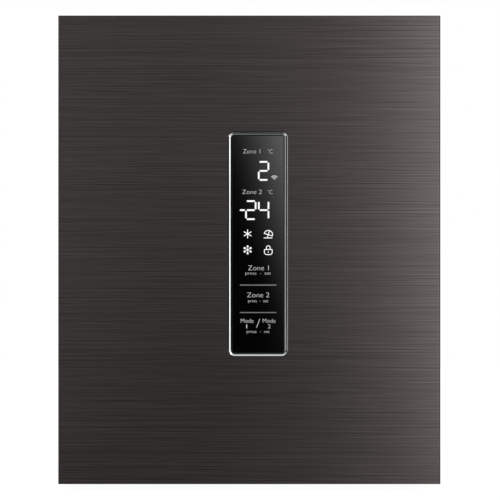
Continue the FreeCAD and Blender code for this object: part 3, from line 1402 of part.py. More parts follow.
def door_bin(level, height):
    """Open bin between the flanks of the door's ring, notched at both ends for the lugs."""
    x = bin_x
    y0 = bin_back
    y1 = bin_back + BIN_DEPTH
    taper = BIN_TAPER
    low = (-x, x, y0, y1 - taper, level)
    tub = open_tub(low, (-x, x, y0, y1, level + height), BIN_CORNER, BIN_WALL)
    bead_z = level + height - BIN_BEAD
    bead_x = x - BEAD_INSET
    tub = tub.fuse(rod(BIN_BEAD, (-bead_x, y1, bead_z), (bead_x, y1, bead_z)))
    reach = LUG_REACH + LUG_FIT
    lug_x = dike_x - DIKE_WIDTH - reach
    y = door_back_y + LUG_BACKSET
    top = level + LUG_RISE + LUG_FIT
    pocket_wall = BIN_WALL
    for side in (-1, 1):
        x0, x1 = sorted((side * (lug_x - pocket_wall), side * x))
        casing = box(x0, x1, y - LUG_FIT - pocket_wall, y + LUG_DEPTH + LUG_FIT + pocket_wall, level,
                     top + pocket_wall)
        tub = tub.fuse(casing)
        n0, n1 = sorted((side * lug_x, side * x))
        tub = tub.cut(box(n0, n1, y - LUG_FIT, y + LUG_DEPTH + LUG_FIT, level, top))
    return tub.removeSplitter()


def upper_bin():
    return door_bin(UPPER_BIN_Z, UPPER_BIN_HEIGHT)


def lower_bin():
    return door_bin(LOWER_BIN_Z, LOWER_BIN_HEIGHT)


# Feet and spacers


def levelling_foot(x):
    hub_top = cabinet_low - FOOT_STOP_GAP
    stem_top = hub_top + FOOT_STEM_LENGTH
    waist = FOOT_PAD - FOOT_CHAMFER
    profile = [(0, 0), (waist, 0), (FOOT_PAD, FOOT_CHAMFER), (FOOT_PAD, FOOT_PAD_HEIGHT - FOOT_CHAMFER),
               (waist, FOOT_PAD_HEIGHT), (FOOT_HUB, FOOT_PAD_HEIGHT), (FOOT_HUB, hub_top),
               (FOOT_STEM, hub_top), (FOOT_STEM, stem_top), (0, stem_top)]
    return revolve(profile, x, foot_y)


def foot_left():
    return levelling_foot(-foot_x)


def foot_right():
    return levelling_foot(foot_x)


def rear_feet():
    y = back_y - REAR_FOOT_INSET
    r = REAR_FOOT_RADIUS
    chamfer = REAR_FOOT_CHAMFER
    profile = [(0, 0), (r - 2 * chamfer, 0), (r - chamfer, chamfer), (r, cabinet_low), (0, cabinet_low)]
    return Part.makeCompound([revolve(profile, x, y) for x in (-rear_foot_x, rear_foot_x)])


def wall_spacers():
    z = cabinet_top - SPACER_DROP
    spacers = []
    for x in (-spacer_x, spacer_x):
        flange = rod(SPACER_RADIUS, (x, back_y, z), (x, back_y + SPACER_FLANGE, z))
        cone = Part.makeCone(SPACER_ROOT, SPACER_TIP, REAR_SPACE - SPACER_FLANGE,
                             Vector(x, back_y + SPACER_FLANGE, z), Vector(0, 1, 0))
        spacers.append(flange.fuse(cone))
    return Part.makeCompound(spacers)


PIECES = [cabinet_shell, rear_panel, base_pan, cabinet_foam, cabinet_liner, freezer_evaporator,
          evaporator_hangers, freezer_frame, freezer_flap, drip_tray, tray_rails, shelf_glass, shelf_trims,
          crisper_drawer, lamp_lens, lamp_board, sensor_cover, drain_tube, compressor_shell,
          compressor_base_plate, compressor_grommets, compressor_bolts, terminal_cover, drain_pan,
          suction_line, discharge_line, condenser_tube, condenser_wires, condenser_brackets, panel_screws,
          filter_drier, capillary_tube, control_box, cord_gland, top_hinge_bracket, bottom_hinge_bracket,
          hinge_screws, top_hinge_cover, hinge_bushes, door_skin, door_top_cap, door_bottom_cap, door_grip,
          door_liner, door_foam, door_gasket, display_housing, display_board, display_frame, display_glass,
          upper_bin, lower_bin, foot_inserts, foot_left, foot_right, rear_feet, wall_spacers]

os.makedirs("parts", exist_ok=True)
for piece in PIECES:
    solid = piece()
    if not solid.isValid() or solid.Volume <= 0:
        raise ValueError("bad solid: " + piece.__name__)
    solid.exportStep("parts/" + piece.__name__ + ".step")
    print("%-24s %2d solids %12.1f mm3" % (piece.__name__, len(solid.Solids), solid.Volume))
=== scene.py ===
import json
import logging
import math
from abc import ABC, abstractmethod
from dataclasses import dataclass
from enum import Enum

import bmesh
import bpy
from mathutils import Color, Matrix, Vector


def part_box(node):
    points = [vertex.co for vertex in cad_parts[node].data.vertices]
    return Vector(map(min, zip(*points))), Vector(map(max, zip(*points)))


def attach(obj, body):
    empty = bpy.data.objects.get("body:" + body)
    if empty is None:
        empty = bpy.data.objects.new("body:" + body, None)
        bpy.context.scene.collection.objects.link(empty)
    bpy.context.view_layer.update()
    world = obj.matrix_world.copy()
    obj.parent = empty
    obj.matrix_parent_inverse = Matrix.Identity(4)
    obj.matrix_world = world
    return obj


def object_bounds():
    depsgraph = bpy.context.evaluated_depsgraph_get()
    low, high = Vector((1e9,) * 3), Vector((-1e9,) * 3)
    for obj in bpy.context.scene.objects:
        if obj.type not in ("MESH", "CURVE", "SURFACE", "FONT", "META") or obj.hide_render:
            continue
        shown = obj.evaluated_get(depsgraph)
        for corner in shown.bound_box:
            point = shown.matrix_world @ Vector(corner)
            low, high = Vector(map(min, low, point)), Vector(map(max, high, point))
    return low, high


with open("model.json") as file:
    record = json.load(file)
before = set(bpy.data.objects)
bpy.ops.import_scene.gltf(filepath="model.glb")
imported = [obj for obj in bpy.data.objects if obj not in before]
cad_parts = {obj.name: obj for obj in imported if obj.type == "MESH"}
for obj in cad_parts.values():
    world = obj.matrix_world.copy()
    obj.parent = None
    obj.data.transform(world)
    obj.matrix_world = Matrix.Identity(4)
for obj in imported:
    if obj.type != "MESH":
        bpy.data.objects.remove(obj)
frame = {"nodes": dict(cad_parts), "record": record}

CAD_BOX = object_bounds()
LOG = logging.getLogger("refrigerator")

Point = tuple[float, float]
Place = tuple[float, float, float]
Box = tuple[float, float, float, float]
Span = tuple[float, float]
Rgb = tuple[int, int, int]
Rgba = tuple[float, float, float, float]
Socket = bpy.types.NodeSocket
Piece = bpy.types.Object

MM = 0.001
QUARTER_TURN = 90.0
DEPTHWISE = Vector((0.0, 1.0, 0.0))
PARALLEL = 0.99

GROWING = (0.0, 1.0)
FADING = (1.0, 0.0)
TONE_SPAN = (0.3, 0.7)
NOISE_MEAN = 0.5
BUMP_DEPTH = 0.2 * MM
BRUSHING_TURN = 0.25
UNLIT = (0.01, 0.01, 0.01, 1.0)
WHITE = (1.0, 1.0, 1.0, 1.0)

DIGIT_STROKE = 2.0
SIGN_STROKE = 0.95


def linear(colour: Rgb) -> Rgba:
    """Turns a screen colour, written as 0 to 255, into the linear RGBA that a socket takes."""
    shares = Color([value / 255.0 for value in colour])
    return (*shares.from_srgb_to_scene_linear(), 1.0)


@dataclass
class NodeBench:
    """Adds nodes to one node tree and joins them."""

    tree: bpy.types.NodeTree

    def add(self, kind: str, **settings: object) -> bpy.types.Node:
        """Adds a node.

        Args:
            kind: The node's type name.
            settings: Attributes to set on it.

        Returns:
            The new node.
        """
        node = self.tree.nodes.new(kind)
        for name, value in settings.items():
            setattr(node, name, value)
        return node

    def join(self, source: Socket, target: Socket) -> None:
        """Links an output to an input."""
        self.tree.links.new(source, target)

    def span(self, value: Socket, given: Span, wanted: Span, smooth: bool = False) -> Socket:
        """Maps one range of values to another, and holds the ends.

        Args:
            value: The output to map.
            given: The range that is read.
            wanted: The range that comes out.
            smooth: Whether the ends are eased.

        Returns:
            The mapped output.
        """
        node = self.add("ShaderNodeMapRange", interpolation_type="SMOOTHSTEP" if smooth else "LINEAR")
        for name, number in zip(("From Min", "From Max", "To Min", "To Max"), given + wanted):
            node.inputs[name].default_value = number
        self.join(value, node.inputs["Value"])
        return node.outputs["Result"]

    def arithmetic(self, operation: str, *terms: Socket | float) -> Socket:
        """Works out one arithmetic step.

        Args:
            operation: The Math node's operation.
            terms: Outputs or numbers.

        Returns:
            The result.
        """
        node = self.add("ShaderNodeMath", operation=operation)
        for slot, term in zip(node.inputs, terms):
            if isinstance(term, Socket):
                self.join(term, slot)
            else:
                slot.default_value = term
        return node.outputs[0]


@dataclass(frozen=True)
class PatternRecipe:
    """How one pattern is drawn.

    The scales of its tones and of its relief are multiples of the finish's own scale. Etching takes a share
    of the tone one step higher off the tone of each place, so that fine lines stand out.
    """

    tone_scale: float
    height_scale: float
    stretch: Place = (1.0, 1.0, 1.0)
    cells: bool = False
    detail: float = 4.0
    wander: float = 0.0
    etch: float = 0.0
    etch_step: float = 0.0


class Pattern(Enum):
    """The ways in which a finish varies over its surface."""

    BRUSHED = PatternRecipe(
        tone_scale=1.0, height_scale=0.5, stretch=(1.0, 1.0, 725.0), detail=0.0, wander=1.8,
        etch=0.35, etch_step=5.4)
    MOULDED = PatternRecipe(tone_scale=0.03, height_scale=1.0)
    ENAMEL = PatternRecipe(tone_scale=0.05, height_scale=1.0, detail=2.0)
    SPANGLE = PatternRecipe(tone_scale=1.0, height_scale=6.0, cells=True)
    DRAWN = PatternRecipe(tone_scale=1.0, height_scale=9.0, detail=5.0)
    FOAM = PatternRecipe(tone_scale=1.0, height_scale=1.6, cells=True)
    SMEARED = PatternRecipe(tone_scale=1.0, height_scale=2.5, stretch=(1.0, 1.0, 0.5), detail=3.0)

    def noise(self, bench: NodeBench, place: Socket, scale: float, wander: float = 0.0) -> Socket:
        """Adds a noise with the pattern's detail.

        Args:
            bench: The group's node tree.
            place: The coordinates that it is read at.
            scale: Its cells in a unit of those coordinates.
            wander: How far it is distorted.

        Returns:
            The noise's value.
        """
        node = bench.add("ShaderNodeTexNoise")
        node.inputs["Scale"].default_value = scale
        node.inputs["Detail"].default_value = self.value.detail
        node.inputs["Distortion"].default_value = wander
        bench.join(place, node.inputs["Vector"])
        return node.outputs[0]

    def tone(self, bench: NodeBench, place: Socket) -> Socket:
        """Adds the pattern's tone: cells, clouds or etched streaks.

        Args:
            bench: The group's node tree.
            place: The stretched coordinates.

        Returns:
            The tone, about its mean whether or not it is etched.
        """
        recipe = self.value
        if recipe.cells:
            node = bench.add("ShaderNodeTexVoronoi")
            node.inputs["Scale"].default_value = recipe.tone_scale
            bench.join(place, node.inputs["Vector"])
            return node.outputs["Color"]
        level = self.noise(bench, place, recipe.tone_scale, recipe.wander)
        if not recipe.etch:
            return level
        higher = bench.add("ShaderNodeVectorMath", operation="ADD")
        higher.inputs[1].default_value = (0.0, 0.0, recipe.etch_step)
        bench.join(place, higher.inputs[0])
        neighbour = self.noise(bench, higher.outputs["Vector"], recipe.tone_scale, recipe.wander)
        level = bench.arithmetic("MULTIPLY_ADD", neighbour, -recipe.etch, level)
        return bench.arithmetic("ADD", level, NOISE_MEAN * recipe.etch)

    def group(self) -> bpy.types.NodeTree:
        """Gives the pattern's shader node group, and builds it at first use.

        Returns:
            A group with the input Scale and the outputs Tone and Height.
        """
        made = bpy.data.node_groups.get(self.name.lower())
        if made is not None:
            return made
        tree = bpy.data.node_groups.new(self.name.lower(), "ShaderNodeTree")
        for name, way in (("Scale", "INPUT"), ("Tone", "OUTPUT"), ("Height", "OUTPUT")):
            tree.interface.new_socket(name=name, in_out=way, socket_type="NodeSocketFloat")
        bench = NodeBench(tree)
        scaled = bench.add("ShaderNodeVectorMath", operation="SCALE")
        bench.join(bench.add("ShaderNodeTexCoord").outputs["Object"], scaled.inputs[0])
        bench.join(bench.add("NodeGroupInput").outputs["Scale"], scaled.inputs["Scale"])
        stretched = bench.add("ShaderNodeVectorMath", operation="MULTIPLY")
        stretched.inputs[1].default_value = self.value.stretch
        bench.join(scaled.outputs["Vector"], stretched.inputs[0])
        place = stretched.outputs["Vector"]
        outlet = bench.add("NodeGroupOutput")
        bench.join(self.tone(bench, place), outlet.inputs["Tone"])
        bench.join(self.noise(bench, place, self.value.height_scale), outlet.inputs["Height"])
        return tree


@dataclass(frozen=True)
class Finish:
    """One surface finish: two tones of a colour, spread by a pattern, with its gloss and relief.

    Its scale is the number of the pattern's units in a metre.
    """

    name: str
    pattern: Pattern
    scale: float
    dark: Rgb
    light: Rgb
    roughness: Span
    bump: float
    metallic: float = 0.0
    specular: float = 0.5
    coat: float = 0.0
    transmission: float = 0.0
    ior: float = 1.5
    anisotropy: float = 0.0
    glow: float = 0.0

    def colour(self, bench: NodeBench, tone: Socket, shader: bpy.types.Node) -> None:
        """Tints the shader, or lights it where the finish glows.

        Args:
            bench: The material's node tree.
            tone: The pattern's tone.
            shader: The Principled BSDF.
        """
        tint = bench.add("ShaderNodeValToRGB")
        for stop, place, colour in zip(tint.color_ramp.elements, TONE_SPAN, (self.dark, self.light)):
            stop.position = place
            stop.color = linear(colour)
        bench.join(tone, tint.inputs["Fac"])
        if self.glow:
            shader.inputs["Base Color"].default_value = UNLIT
            shader.inputs["Emission Strength"].default_value = self.glow
        bench.join(tint.outputs["Color"], shader.inputs["Emission Color" if self.glow else "Base Color"])

    def material(self) -> bpy.types.Material:
        """Gives the finish's material, and builds it at first use.

        Returns:
            A node material on Object coordinates.
        """
        made = bpy.data.materials.get(self.name)
        if made is not None:
            return made
        made = bpy.data.materials.new(self.name)
        made.use_nodes = True
        bench = NodeBench(made.node_tree)
        shader = made.node_tree.nodes["Principled BSDF"]
        pattern = bench.add("ShaderNodeGroup", node_tree=self.pattern.group())
        pattern.inputs["Scale"].default_value = self.scale
        self.colour(bench, pattern.outputs["Tone"], shader)
        bench.join(bench.span(pattern.outputs["Tone"], TONE_SPAN, self.roughness), shader.inputs["Roughness"])
        relief = bench.add("ShaderNodeBump")
        relief.inputs["Strength"].default_value = self.bump
        relief.inputs["Distance"].default_value = BUMP_DEPTH
        bench.join(pattern.outputs["Height"], relief.inputs["Height"])
        bench.join(relief.outputs["Normal"], shader.inputs["Normal"])
        for socket, value in (
                ("Metallic", self.metallic),
                ("Specular IOR Level", self.specular),
                ("Coat Weight", self.coat),
                ("Transmission Weight", self.transmission),
                ("IOR", self.ior),
                ("Anisotropic", self.anisotropy),
                ("Anisotropic Rotation", BRUSHING_TURN if self.anisotropy else 0.0)):
            shader.inputs[socket].default_value = value
        return made


class Palette(Enum):
    """The finishes of this refrigerator. Those of CAD nodes have the names of the record's slots."""

    DOOR_STEEL = Finish(
        "dark_brushed_steel", Pattern.BRUSHED, scale=5.3, dark=(50, 46, 45), light=(86, 81, 80),
        roughness=(0.34, 0.38), bump=0.04, metallic=1.0, anisotropy=0.85)
    CABINET_PAINT = Finish(
        "satin_powder_coat", Pattern.ENAMEL, scale=900.0, dark=(47, 47, 48), light=(51, 51, 52),
        roughness=(0.42, 0.46), bump=0.16)
    ZINC_SHEET = Finish(
        "galvanised_sheet", Pattern.SPANGLE, scale=190.0, dark=(150, 153, 156), light=(170, 173, 176),
        roughness=(0.38, 0.48), bump=0.06, metallic=0.8)
    INSULATION = Finish(
        "rigid_foam", Pattern.FOAM, scale=500.0, dark=(206, 190, 140), light=(226, 212, 168),
        roughness=(0.80, 0.95), bump=0.50)
    LINER_WHITE = Finish(
        "vacuum_formed_white", Pattern.ENAMEL, scale=240.0, dark=(224, 226, 226), light=(232, 234, 234),
        roughness=(0.20, 0.28), bump=0.05)
    CAP_PLASTIC = Finish(
        "grained_black_plastic", Pattern.MOULDED, scale=1400.0, dark=(24, 24, 25), light=(34, 34, 35),
        roughness=(0.45, 0.58), bump=0.30)
    GASKET_RUBBER = Finish(
        "gasket_vinyl", Pattern.MOULDED, scale=700.0, dark=(92, 92, 93), light=(112, 112, 113),
        roughness=(0.52, 0.66), bump=0.15)
    BEARING_PLASTIC = Finish(
        "natural_bearing_plastic", Pattern.MOULDED, scale=600.0, dark=(206, 206, 198), light=(222, 222, 214),
        roughness=(0.32, 0.42), bump=0.08)
    BRIGHT_FRAME = Finish(
        "polished_bevel", Pattern.SMEARED, scale=30.0, dark=(222, 222, 224), light=(234, 234, 236),
        roughness=(0.08, 0.14), bump=0.02, metallic=1.0)
    DISPLAY_BLACK = Finish(
        "black_back_printed_glass", Pattern.SMEARED, scale=14.0, dark=(1, 1, 1), light=(2, 2, 2),
        roughness=(0.04, 0.06), bump=0.01, specular=1.0, ior=1.6)
    CIRCUIT_BOARD = Finish(
        "green_solder_mask", Pattern.ENAMEL, scale=300.0, dark=(12, 62, 34), light=(22, 84, 48),
        roughness=(0.28, 0.40), bump=0.10)
    CLEAR_PLASTIC = Finish(
        "clear_polystyrene", Pattern.SMEARED, scale=18.0, dark=(246, 249, 250), light=(252, 253, 254),
        roughness=(0.04, 0.10), bump=0.02, transmission=0.95, ior=1.25)
    SHELF_GLASS = Finish(
        "toughened_glass", Pattern.SMEARED, scale=16.0, dark=(236, 246, 243), light=(246, 252, 250),
        roughness=(0.02, 0.06), bump=0.01, transmission=0.96, ior=1.35)
    LIT_LENS = Finish(
        "opal_lamp_lens", Pattern.MOULDED, scale=600.0, dark=(238, 240, 242), light=(246, 248, 250),
        roughness=(0.30, 0.40), bump=0.05, glow=0.9)
    SHELF_TRIM = Finish(
        "satin_pale_plastic", Pattern.MOULDED, scale=900.0, dark=(204, 206, 208), light=(216, 218, 220),
        roughness=(0.34, 0.44), bump=0.12)
    EVAPORATOR_ALUMINIUM = Finish(
        "rolled_aluminium", Pattern.DRAWN, scale=60.0, dark=(186, 188, 190), light=(208, 210, 212),
        roughness=(0.28, 0.40), bump=0.08, metallic=1.0)
    COPPER = Finish(
        "drawn_copper", Pattern.DRAWN, scale=90.0, dark=(158, 92, 62), light=(196, 126, 90),
        roughness=(0.24, 0.42), bump=0.06, metallic=1.0)
    COMPRESSOR_BLACK = Finish(
        "gloss_black_enamel", Pattern.ENAMEL, scale=260.0, dark=(14, 14, 15), light=(22, 22, 23),
        roughness=(0.18, 0.28), bump=0.16, coat=0.3)
    CONDENSER_BLACK = Finish(
        "dipped_black_enamel", Pattern.ENAMEL, scale=500.0, dark=(18, 18, 18), light=(28, 28, 28),
        roughness=(0.30, 0.42), bump=0.16)
    GROMMET_RUBBER = Finish(
        "black_rubber", Pattern.MOULDED, scale=800.0, dark=(20, 20, 20), light=(30, 30, 30),
        roughness=(0.62, 0.78), bump=0.20)
    ZINC_STEEL = Finish(
        "zinc_plated_steel", Pattern.DRAWN, scale=160.0, dark=(150, 150, 146), light=(178, 178, 172),
        roughness=(0.26, 0.38), bump=0.06, metallic=1.0)
    LIT_SIGN = Finish(
        "lit_segment", Pattern.SMEARED, scale=60.0, dark=(246, 248, 250), light=(255, 255, 255),
        roughness=(0.30, 0.40), bump=0.0, glow=1.0)
    DIM_SIGN = Finish(
        "lit_label", Pattern.SMEARED, scale=60.0, dark=(186, 188, 190), light=(206, 208, 210),
        roughness=(0.30, 0.40), bump=0.0, glow=1.0)
    KEY_RULE = Finish(
        "printed_rule", Pattern.SMEARED, scale=60.0, dark=(82, 83, 84), light=(92, 93, 94),
        roughness=(0.30, 0.40), bump=0.0, glow=1.0)
    # Black for the glass seal, and for the ring of painted shadow round the frame.
    SEAL_BLACK = Finish(
        "black_seal_and_painted_shadow", Pattern.MOULDED, scale=900.0, dark=(6, 6, 6), light=(10, 10, 10),
        roughness=(0.60, 0.75), bump=0.10, specular=0.2)
    RIM_CHROME = Finish(
        "dark_chrome_rim", Pattern.SMEARED, scale=30.0, dark=(112, 112, 113), light=(118, 118, 119),
        roughness=(0.10, 0.14), bump=0.01, metallic=1.0)
    BEAD_CHROME = Finish(
        "dark_chrome_bead", Pattern.SMEARED, scale=30.0, dark=(134, 134, 135), light=(140, 140, 141),
        roughness=(0.10, 0.14), bump=0.01, metallic=1.0)


class Workshop:
    """Modelling by operators, one piece at a time, with nothing else selected."""

    @staticmethod
    def clear() -> None:
        """Leaves edit mode and deselects every object."""
        if bpy.context.object is not None and bpy.context.object.mode != "OBJECT":
            bpy.ops.object.mode_set(mode="OBJECT")
        bpy.ops.object.select_all(action="DESELECT")

    @staticmethod
    def pick(piece: Piece) -> None:
        """Selects one piece alone and makes it active.

        Args:
            piece: Any object of the scene.
        """
        Workshop.clear()
        piece.select_set(True)
        bpy.context.view_layer.objects.active = piece

    @staticmethod
    def settle(piece: Piece) -> None:
        """Puts an object's place, turn and scale into its mesh."""
        Workshop.pick(piece)
        bpy.ops.object.transform_apply(location=True, rotation=True, scale=True)

    @staticmethod
    def edit(piece: Piece) -> None:
        """Opens one piece in edit mode with all of it selected.

        Args:
            piece: A mesh object.
        """
        Workshop.pick(piece)
        bpy.ops.object.mode_set(mode="EDIT")
        bpy.ops.mesh.select_all(action="SELECT")

    @staticmethod
    def copy(piece: Piece, turn: Matrix) -> Piece:
        """Copies a piece with its own mesh.

        Args:
            piece: A settled mesh object.
            turn: What moves the copy's mesh to its place.

        Returns:
            The settled copy.
        """
        twin = piece.copy()
        twin.data = piece.data.copy()
        twin.data.transform(turn)
        bpy.context.scene.collection.objects.link(twin)
        return twin

    @staticmethod
    def join(name: str, pieces: list[Piece]) -> Piece:
        """Joins pieces into one.

        Args:
            name: The joined piece's name.
            pieces: Settled mesh objects.

        Returns:
            The joined object.
        """
        Workshop.pick(pieces[0])
        for piece in pieces:
            piece.select_set(True)
        bpy.ops.object.join()
        pieces[0].name = name
        return pieces[0]

    @staticmethod
    def round_edges(piece: Piece, along: Vector, radius: float, segments: int) -> None:
        """Bevels the edges that run along an axis.

        Args:
            piece: A settled mesh object.
            along: The edges' direction.
            radius: The bevel's width in metres.
            segments: Steps of the bevel.
        """
        Workshop.edit(piece)
        bpy.ops.mesh.select_mode(type="EDGE")
        bpy.ops.mesh.select_all(action="DESELECT")
        mesh = bmesh.from_edit_mesh(piece.data)
        for edge in mesh.edges:
            run = (edge.verts[1].co - edge.verts[0].co).normalized()
            edge.select_set(abs(run.dot(along)) > PARALLEL)
        bmesh.update_edit_mesh(piece.data)
        bpy.ops.mesh.bevel(offset=radius, segments=segments, affect="EDGES")
        bpy.ops.object.mode_set(mode="OBJECT")

    @staticmethod
    def set_on_door(piece: Piece, finish: Palette, slot: str) -> None:
        """Dresses a new piece, sets it on the door and reports it.

        Args:
            piece: A settled mesh object.
            finish: What it is dressed in.
            slot: The record's slot that it belongs to; not used.
        """
        piece.data.materials.clear()
        piece.data.materials.append(finish.value.material())
        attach(piece, "door")
        LOG.info("%s: %d faces", piece.name, len(piece.data.polygons))


@dataclass
class GlassPen:
    """Models flat marks that stand on the display's glass.

    Places are millimetres from the middle of the glass, u to the right and v up. A bar's rounding is a share
    of its width, and letters are thinned by a share of their height.
    """

    relief: float = 0.10
    rounding: float = 0.46
    rounding_steps: int = 4
    arc_steps: int = 40
    arc_sides: int = 8
    letter_depth: float = 0.5
    letter_offset: float = -0.018

    def __post_init__(self) -> None:
        """Finds the middle and the front of the glass."""
        low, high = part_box("display_glass")
        self.middle = (Vector(low) + Vector(high)) / 2
        self.front = low[1]

    def point(self, u: float, v: float) -> Vector:
        """Gives the place of u, v on the glass, half the relief in front of it."""
        return Vector((self.middle.x + u * MM, self.front - self.relief * MM / 2, self.middle.z + v * MM))

    def bar(self, start: Point, end: Point, stroke: float) -> Piece:
        """Models a flat bar with rounded ends.

        Args:
            start: u, v of one tip.
            end: u, v of the other tip.
            stroke: Width in millimetres.

        Returns:
            The settled bar.
        """
        Workshop.clear()
        run = Vector((end[0] - start[0], end[1] - start[1]))
        bpy.ops.mesh.primitive_cube_add(size=1.0)
        piece = bpy.context.active_object
        piece.scale = (run.length * MM, self.relief * MM, stroke * MM)
        Workshop.settle(piece)
        radius = self.rounding * min(stroke, run.length) * MM
        Workshop.round_edges(piece, DEPTHWISE, radius, self.rounding_steps)
        piece.rotation_euler = (0.0, -math.atan2(run.y, run.x), 0.0)
        piece.location = self.point((start[0] + end[0]) / 2, (start[1] + end[1]) / 2)
        Workshop.settle(piece)
        return piece

    def arc(self, centre: Point, radius: float, stroke: float, facing: float, spread: float) -> Piece:
        """Models a flat arc from a ring, cut down to a sector.

        Args:
            centre: u, v of the arc's centre.
            radius: To the middle of the stroke, in millimetres.
            stroke: Width in millimetres.
            facing: Direction of the arc's middle, degrees from +u towards +v.
            spread: Half the sector's angle, at most a quarter turn.

        Returns:
            The settled arc.
        """
        Workshop.clear()
        bpy.ops.mesh.primitive_torus_add(
            major_radius=radius * MM, minor_radius=stroke / 2 * MM, major_segments=self.arc_steps,
            minor_segments=self.arc_sides, rotation=(math.pi / 2, 0.0, 0.0))
        piece = bpy.context.active_object
        piece.scale = (1.0, 1.0, self.relief / stroke)
        Workshop.settle(piece)
        for side in (-1, 1):
            edge = math.radians(facing + side * (spread - QUARTER_TURN))
            Workshop.edit(piece)
            bpy.ops.mesh.bisect(
                plane_co=(0.0, 0.0, 0.0), plane_no=(math.cos(edge), 0.0, math.sin(edge)),
                use_fill=True, clear_inner=True)
            bpy.ops.object.mode_set(mode="OBJECT")
        piece.location = self.point(*centre)
        Workshop.settle(piece)
        return piece

    def words(self, text: str, box: Box) -> Piece:
        """Sets plain words and fits them into a box.

        Args:
            text: What the words say.
            box: u and v limits: left, right, low, high.

        Returns:
            The settled mesh.
        """
        Workshop.clear()
        bpy.ops.object.text_add()
        letters = bpy.context.active_object.data
        letters.body = text
        letters.extrude = self.letter_depth
        letters.offset = self.letter_offset
        bpy.ops.object.convert(target="MESH")
        piece = bpy.context.active_object
        corners = [vertex.co for vertex in piece.data.vertices]
        low = Vector(map(min, *corners))
        high = Vector(map(max, *corners))
        left, right, bottom, top = box
        wanted = Vector((right - left, top - bottom, self.relief)) * MM
        piece.data.transform(Matrix.Translation(-(low + high) / 2))
        piece.scale = [length / given for length, given in zip(wanted, high - low)]
        piece.rotation_euler = (math.pi / 2, 0.0, 0.0)
        piece.location = self.point((left + right) / 2, (bottom + top) / 2)
        Workshop.settle(piece)
        return piece


class Mark(ABC):
    """Something that the pen draws on the glass, with its sizes in millimetres."""

    @abstractmethod
    def draw(self, pen: GlassPen) -> list[Piece]:
        """Models the mark with a pen, and gives its settled pieces."""


@dataclass(frozen=True)
class Line(Mark):
    """One straight bar."""

    start: Point
    end: Point
    stroke: float

    def draw(self, pen: GlassPen) -> list[Piece]:
        """Models the bar."""
        return [pen.bar(self.start, self.end, self.stroke)]


@dataclass(frozen=True)
class Label(Mark):
    """Plain words in a box: left, right, low, high."""

    text: str
    box: Box

    def draw(self, pen: GlassPen) -> list[Piece]:
        """Sets the words."""
        return [pen.words(self.text, self.box)]


class Numeral(Enum):
    """The lit segments of a number, a to g in the usual order."""

    TWO = "abged"
    FOUR = "fgbc"


@dataclass(frozen=True)
class Digit(Mark):
    """One seven-segment number, placed by its lower left corner.

    Each segment ends a share of the stroke short of the corner's middle.
    """

    numeral: Numeral
    left: float
    low: float
    width: float = 13.3
    height: float = 23.2
    stroke: float = DIGIT_STROKE
    corner_gap: float = 0.45

    def draw(self, pen: GlassPen) -> list[Piece]:
        """Models one bar for each lit segment.

        Args:
            pen: What draws on the glass.

        Returns:
            The settled bars.
        """
        inner = self.stroke / 2
        near = self.corner_gap * self.stroke
        left = self.left + inner
        right = self.left + self.width - inner
        low = self.low + inner
        top = self.low + self.height - inner
        waist = (low + top) / 2
        segments = {
            "a": ((left + near, top), (right - near, top)),
            "b": ((right, top - near), (right, waist + near)),
            "c": ((right, waist - near), (right, low + near)),
            "d": ((left + near, low), (right - near, low)),
            "e": ((left, waist - near), (left, low + near)),
            "f": ((left, top - near), (left, waist + near)),
            "g": ((left + near, waist), (right - near, waist))}
        return [pen.bar(*segments[letter], self.stroke) for letter in self.numeral.value]


@dataclass(frozen=True)
class Star(Mark):
    """Equal bars that run out from a centre, the first one upright."""

    centre: Point
    inner: float
    outer: float
    stroke: float
    arms: int = 6

    def draw(self, pen: GlassPen) -> list[Piece]:
        """Models one bar and turns copies of it about the centre.

        Args:
            pen: What draws on the glass.

        Returns:
            The settled bars.
        """
        u, v = self.centre
        upright = pen.bar((u, v + self.inner), (u, v + self.outer), self.stroke)
        middle = Matrix.Translation(pen.point(u, v))
        bars = [upright]
        for arm in range(1, self.arms):
            turn = Matrix.Rotation(math.tau * arm / self.arms, 4, "Y")
            bars.append(Workshop.copy(upright, middle @ turn @ middle.inverted()))
        return bars


@dataclass(frozen=True)
class Sunshade(Mark):
    """A sunshade that leans, in degrees, over a ground line below its centre.

    The canopy's radius and the ground's right end are shares of the reach.
    """

    centre: Point
    stroke: float = SIGN_STROKE
    lean: float = -17.0
    reach: float = 5.4
    canopy: float = 0.93
    canopy_spread: float = 88.0
    ground: float = -3.8
    ground_right: float = 0.9

    def draw(self, pen: GlassPen) -> list[Piece]:
        """Models canopy, rib, rim, pole and ground.

        Args:
            pen: What draws on the glass.

        Returns:
            The settled pieces.
        """
        u, v = self.centre
        lean = math.radians(self.lean)
        radius = self.canopy * self.reach
        rim_u = self.reach * math.cos(lean)
        rim_v = self.reach * math.sin(lean)
        ground_v = v + self.ground
        crown = (u - radius * math.sin(lean), v + radius * math.cos(lean))
        foot = (u + self.ground * math.tan(-lean), ground_v)
        return [
            pen.arc(self.centre, radius, self.stroke, self.lean + QUARTER_TURN, self.canopy_spread),
            pen.bar(self.centre, crown, self.stroke),
            pen.bar((u - rim_u, v - rim_v), (u + rim_u, v + rim_v), self.stroke),
            pen.bar(self.centre, foot, self.stroke),
            pen.bar((u - self.reach, ground_v), (u + self.ground_right * self.reach, ground_v), self.stroke)]


